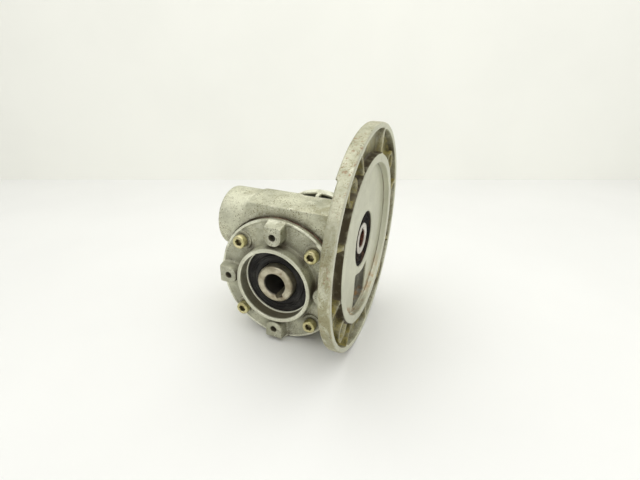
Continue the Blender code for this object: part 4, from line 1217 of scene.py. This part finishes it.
def area_light(name, place_at, target, size, power):
    data = bpy.data.lights.new(name, "AREA")
    data.shape = "RECTANGLE"
    data.size, data.size_y = size
    data.energy = power
    light = bpy.data.objects.new(name, data)
    light.location = place_at
    light.rotation_euler = (target - place_at).to_track_quat("-Z", "Y").to_euler()
    bpy.context.scene.collection.objects.link(light)


# The photo's camera, from the output axis, and the stage around the gearbox, in metres.
WALL_DISTANCE = 0.65
CAMERA_PLACE = Vector((99.03, -205.47, 121.32)) * MM + OUTPUT_AXIS
CAMERA_TARGET = Vector((18.44, 0.0, 23.17)) * MM + OUTPUT_AXIS
CAMERA_ROLL = 0.04
CAMERA_LENS = 20.63


def build_camera():
    forward = (CAMERA_TARGET - CAMERA_PLACE).normalized()
    right = forward.cross(Vector((0, 0, 1))).normalized()
    up = right.cross(forward)
    cos, sin = math.cos(CAMERA_ROLL), math.sin(CAMERA_ROLL)
    rolled_right, rolled_up = right * cos + up * sin, up * cos - right * sin
    data = bpy.data.cameras.new("photo_angle")
    data.sensor_width = 36
    data.lens = CAMERA_LENS
    data.clip_start, data.clip_end = 0.01, 10
    camera = bpy.data.objects.new("photo_angle", data)
    turn = Matrix((rolled_right, rolled_up, -forward)).transposed().to_4x4()
    camera.matrix_world = Matrix.Translation(CAMERA_PLACE) @ turn
    bpy.context.scene.collection.objects.link(camera)
    bpy.context.scene.camera = camera
    return forward


def build_stage(forward):
    tilt = table_tilt()
    up = Vector((-math.sin(tilt), 0, math.cos(tilt)))
    ahead = (forward - up * forward.dot(up)).normalized()
    right = ahead.cross(up)
    ground = OUTPUT_AXIS - up * (BODY_RADIUS + 0.1) * MM
    under_camera = CAMERA_PLACE - up * (CAMERA_PLACE - ground).dot(up)
    wall_base = under_camera + ahead * WALL_DISTANCE
    table = stage_material("white_table", (0.82, 0.82, 0.80), 0.6)
    wall = stage_material("white_wall", (0.93, 0.93, 0.87), 0.8)
    stage_sheet("table_top", wall_base - ahead * 2, right, ahead, (6, 4), table)
    stage_sheet("back_wall", wall_base + up * 1.5, right, up, (6, 3), wall)
    middle = OUTPUT_AXIS + up * 0.03
    area_light("ceiling_light", middle + up * 0.9 - ahead * 0.15, middle, (1.5, 1.2), 8.6)
    area_light("window_light", middle + right * 0.9 - ahead * 0.35 + up * 0.5, middle, (0.7, 0.7), 0.5)
    area_light("front_light", middle + right * 0.10 - ahead * 0.9 + up * 0.25, middle, (0.8, 0.6), 1.2)
    world = bpy.data.worlds.new("studio_air")
    world.use_nodes = True
    background = world.node_tree.nodes["Background"]
    background.inputs["Color"].default_value = (1.0, 1.0, 0.97, 1)
    background.inputs["Strength"].default_value = 0.48
    bpy.context.scene.world = world
    bpy.context.scene.view_settings.view_transform = "Standard"


build_gearbox()
build_stage(build_camera())
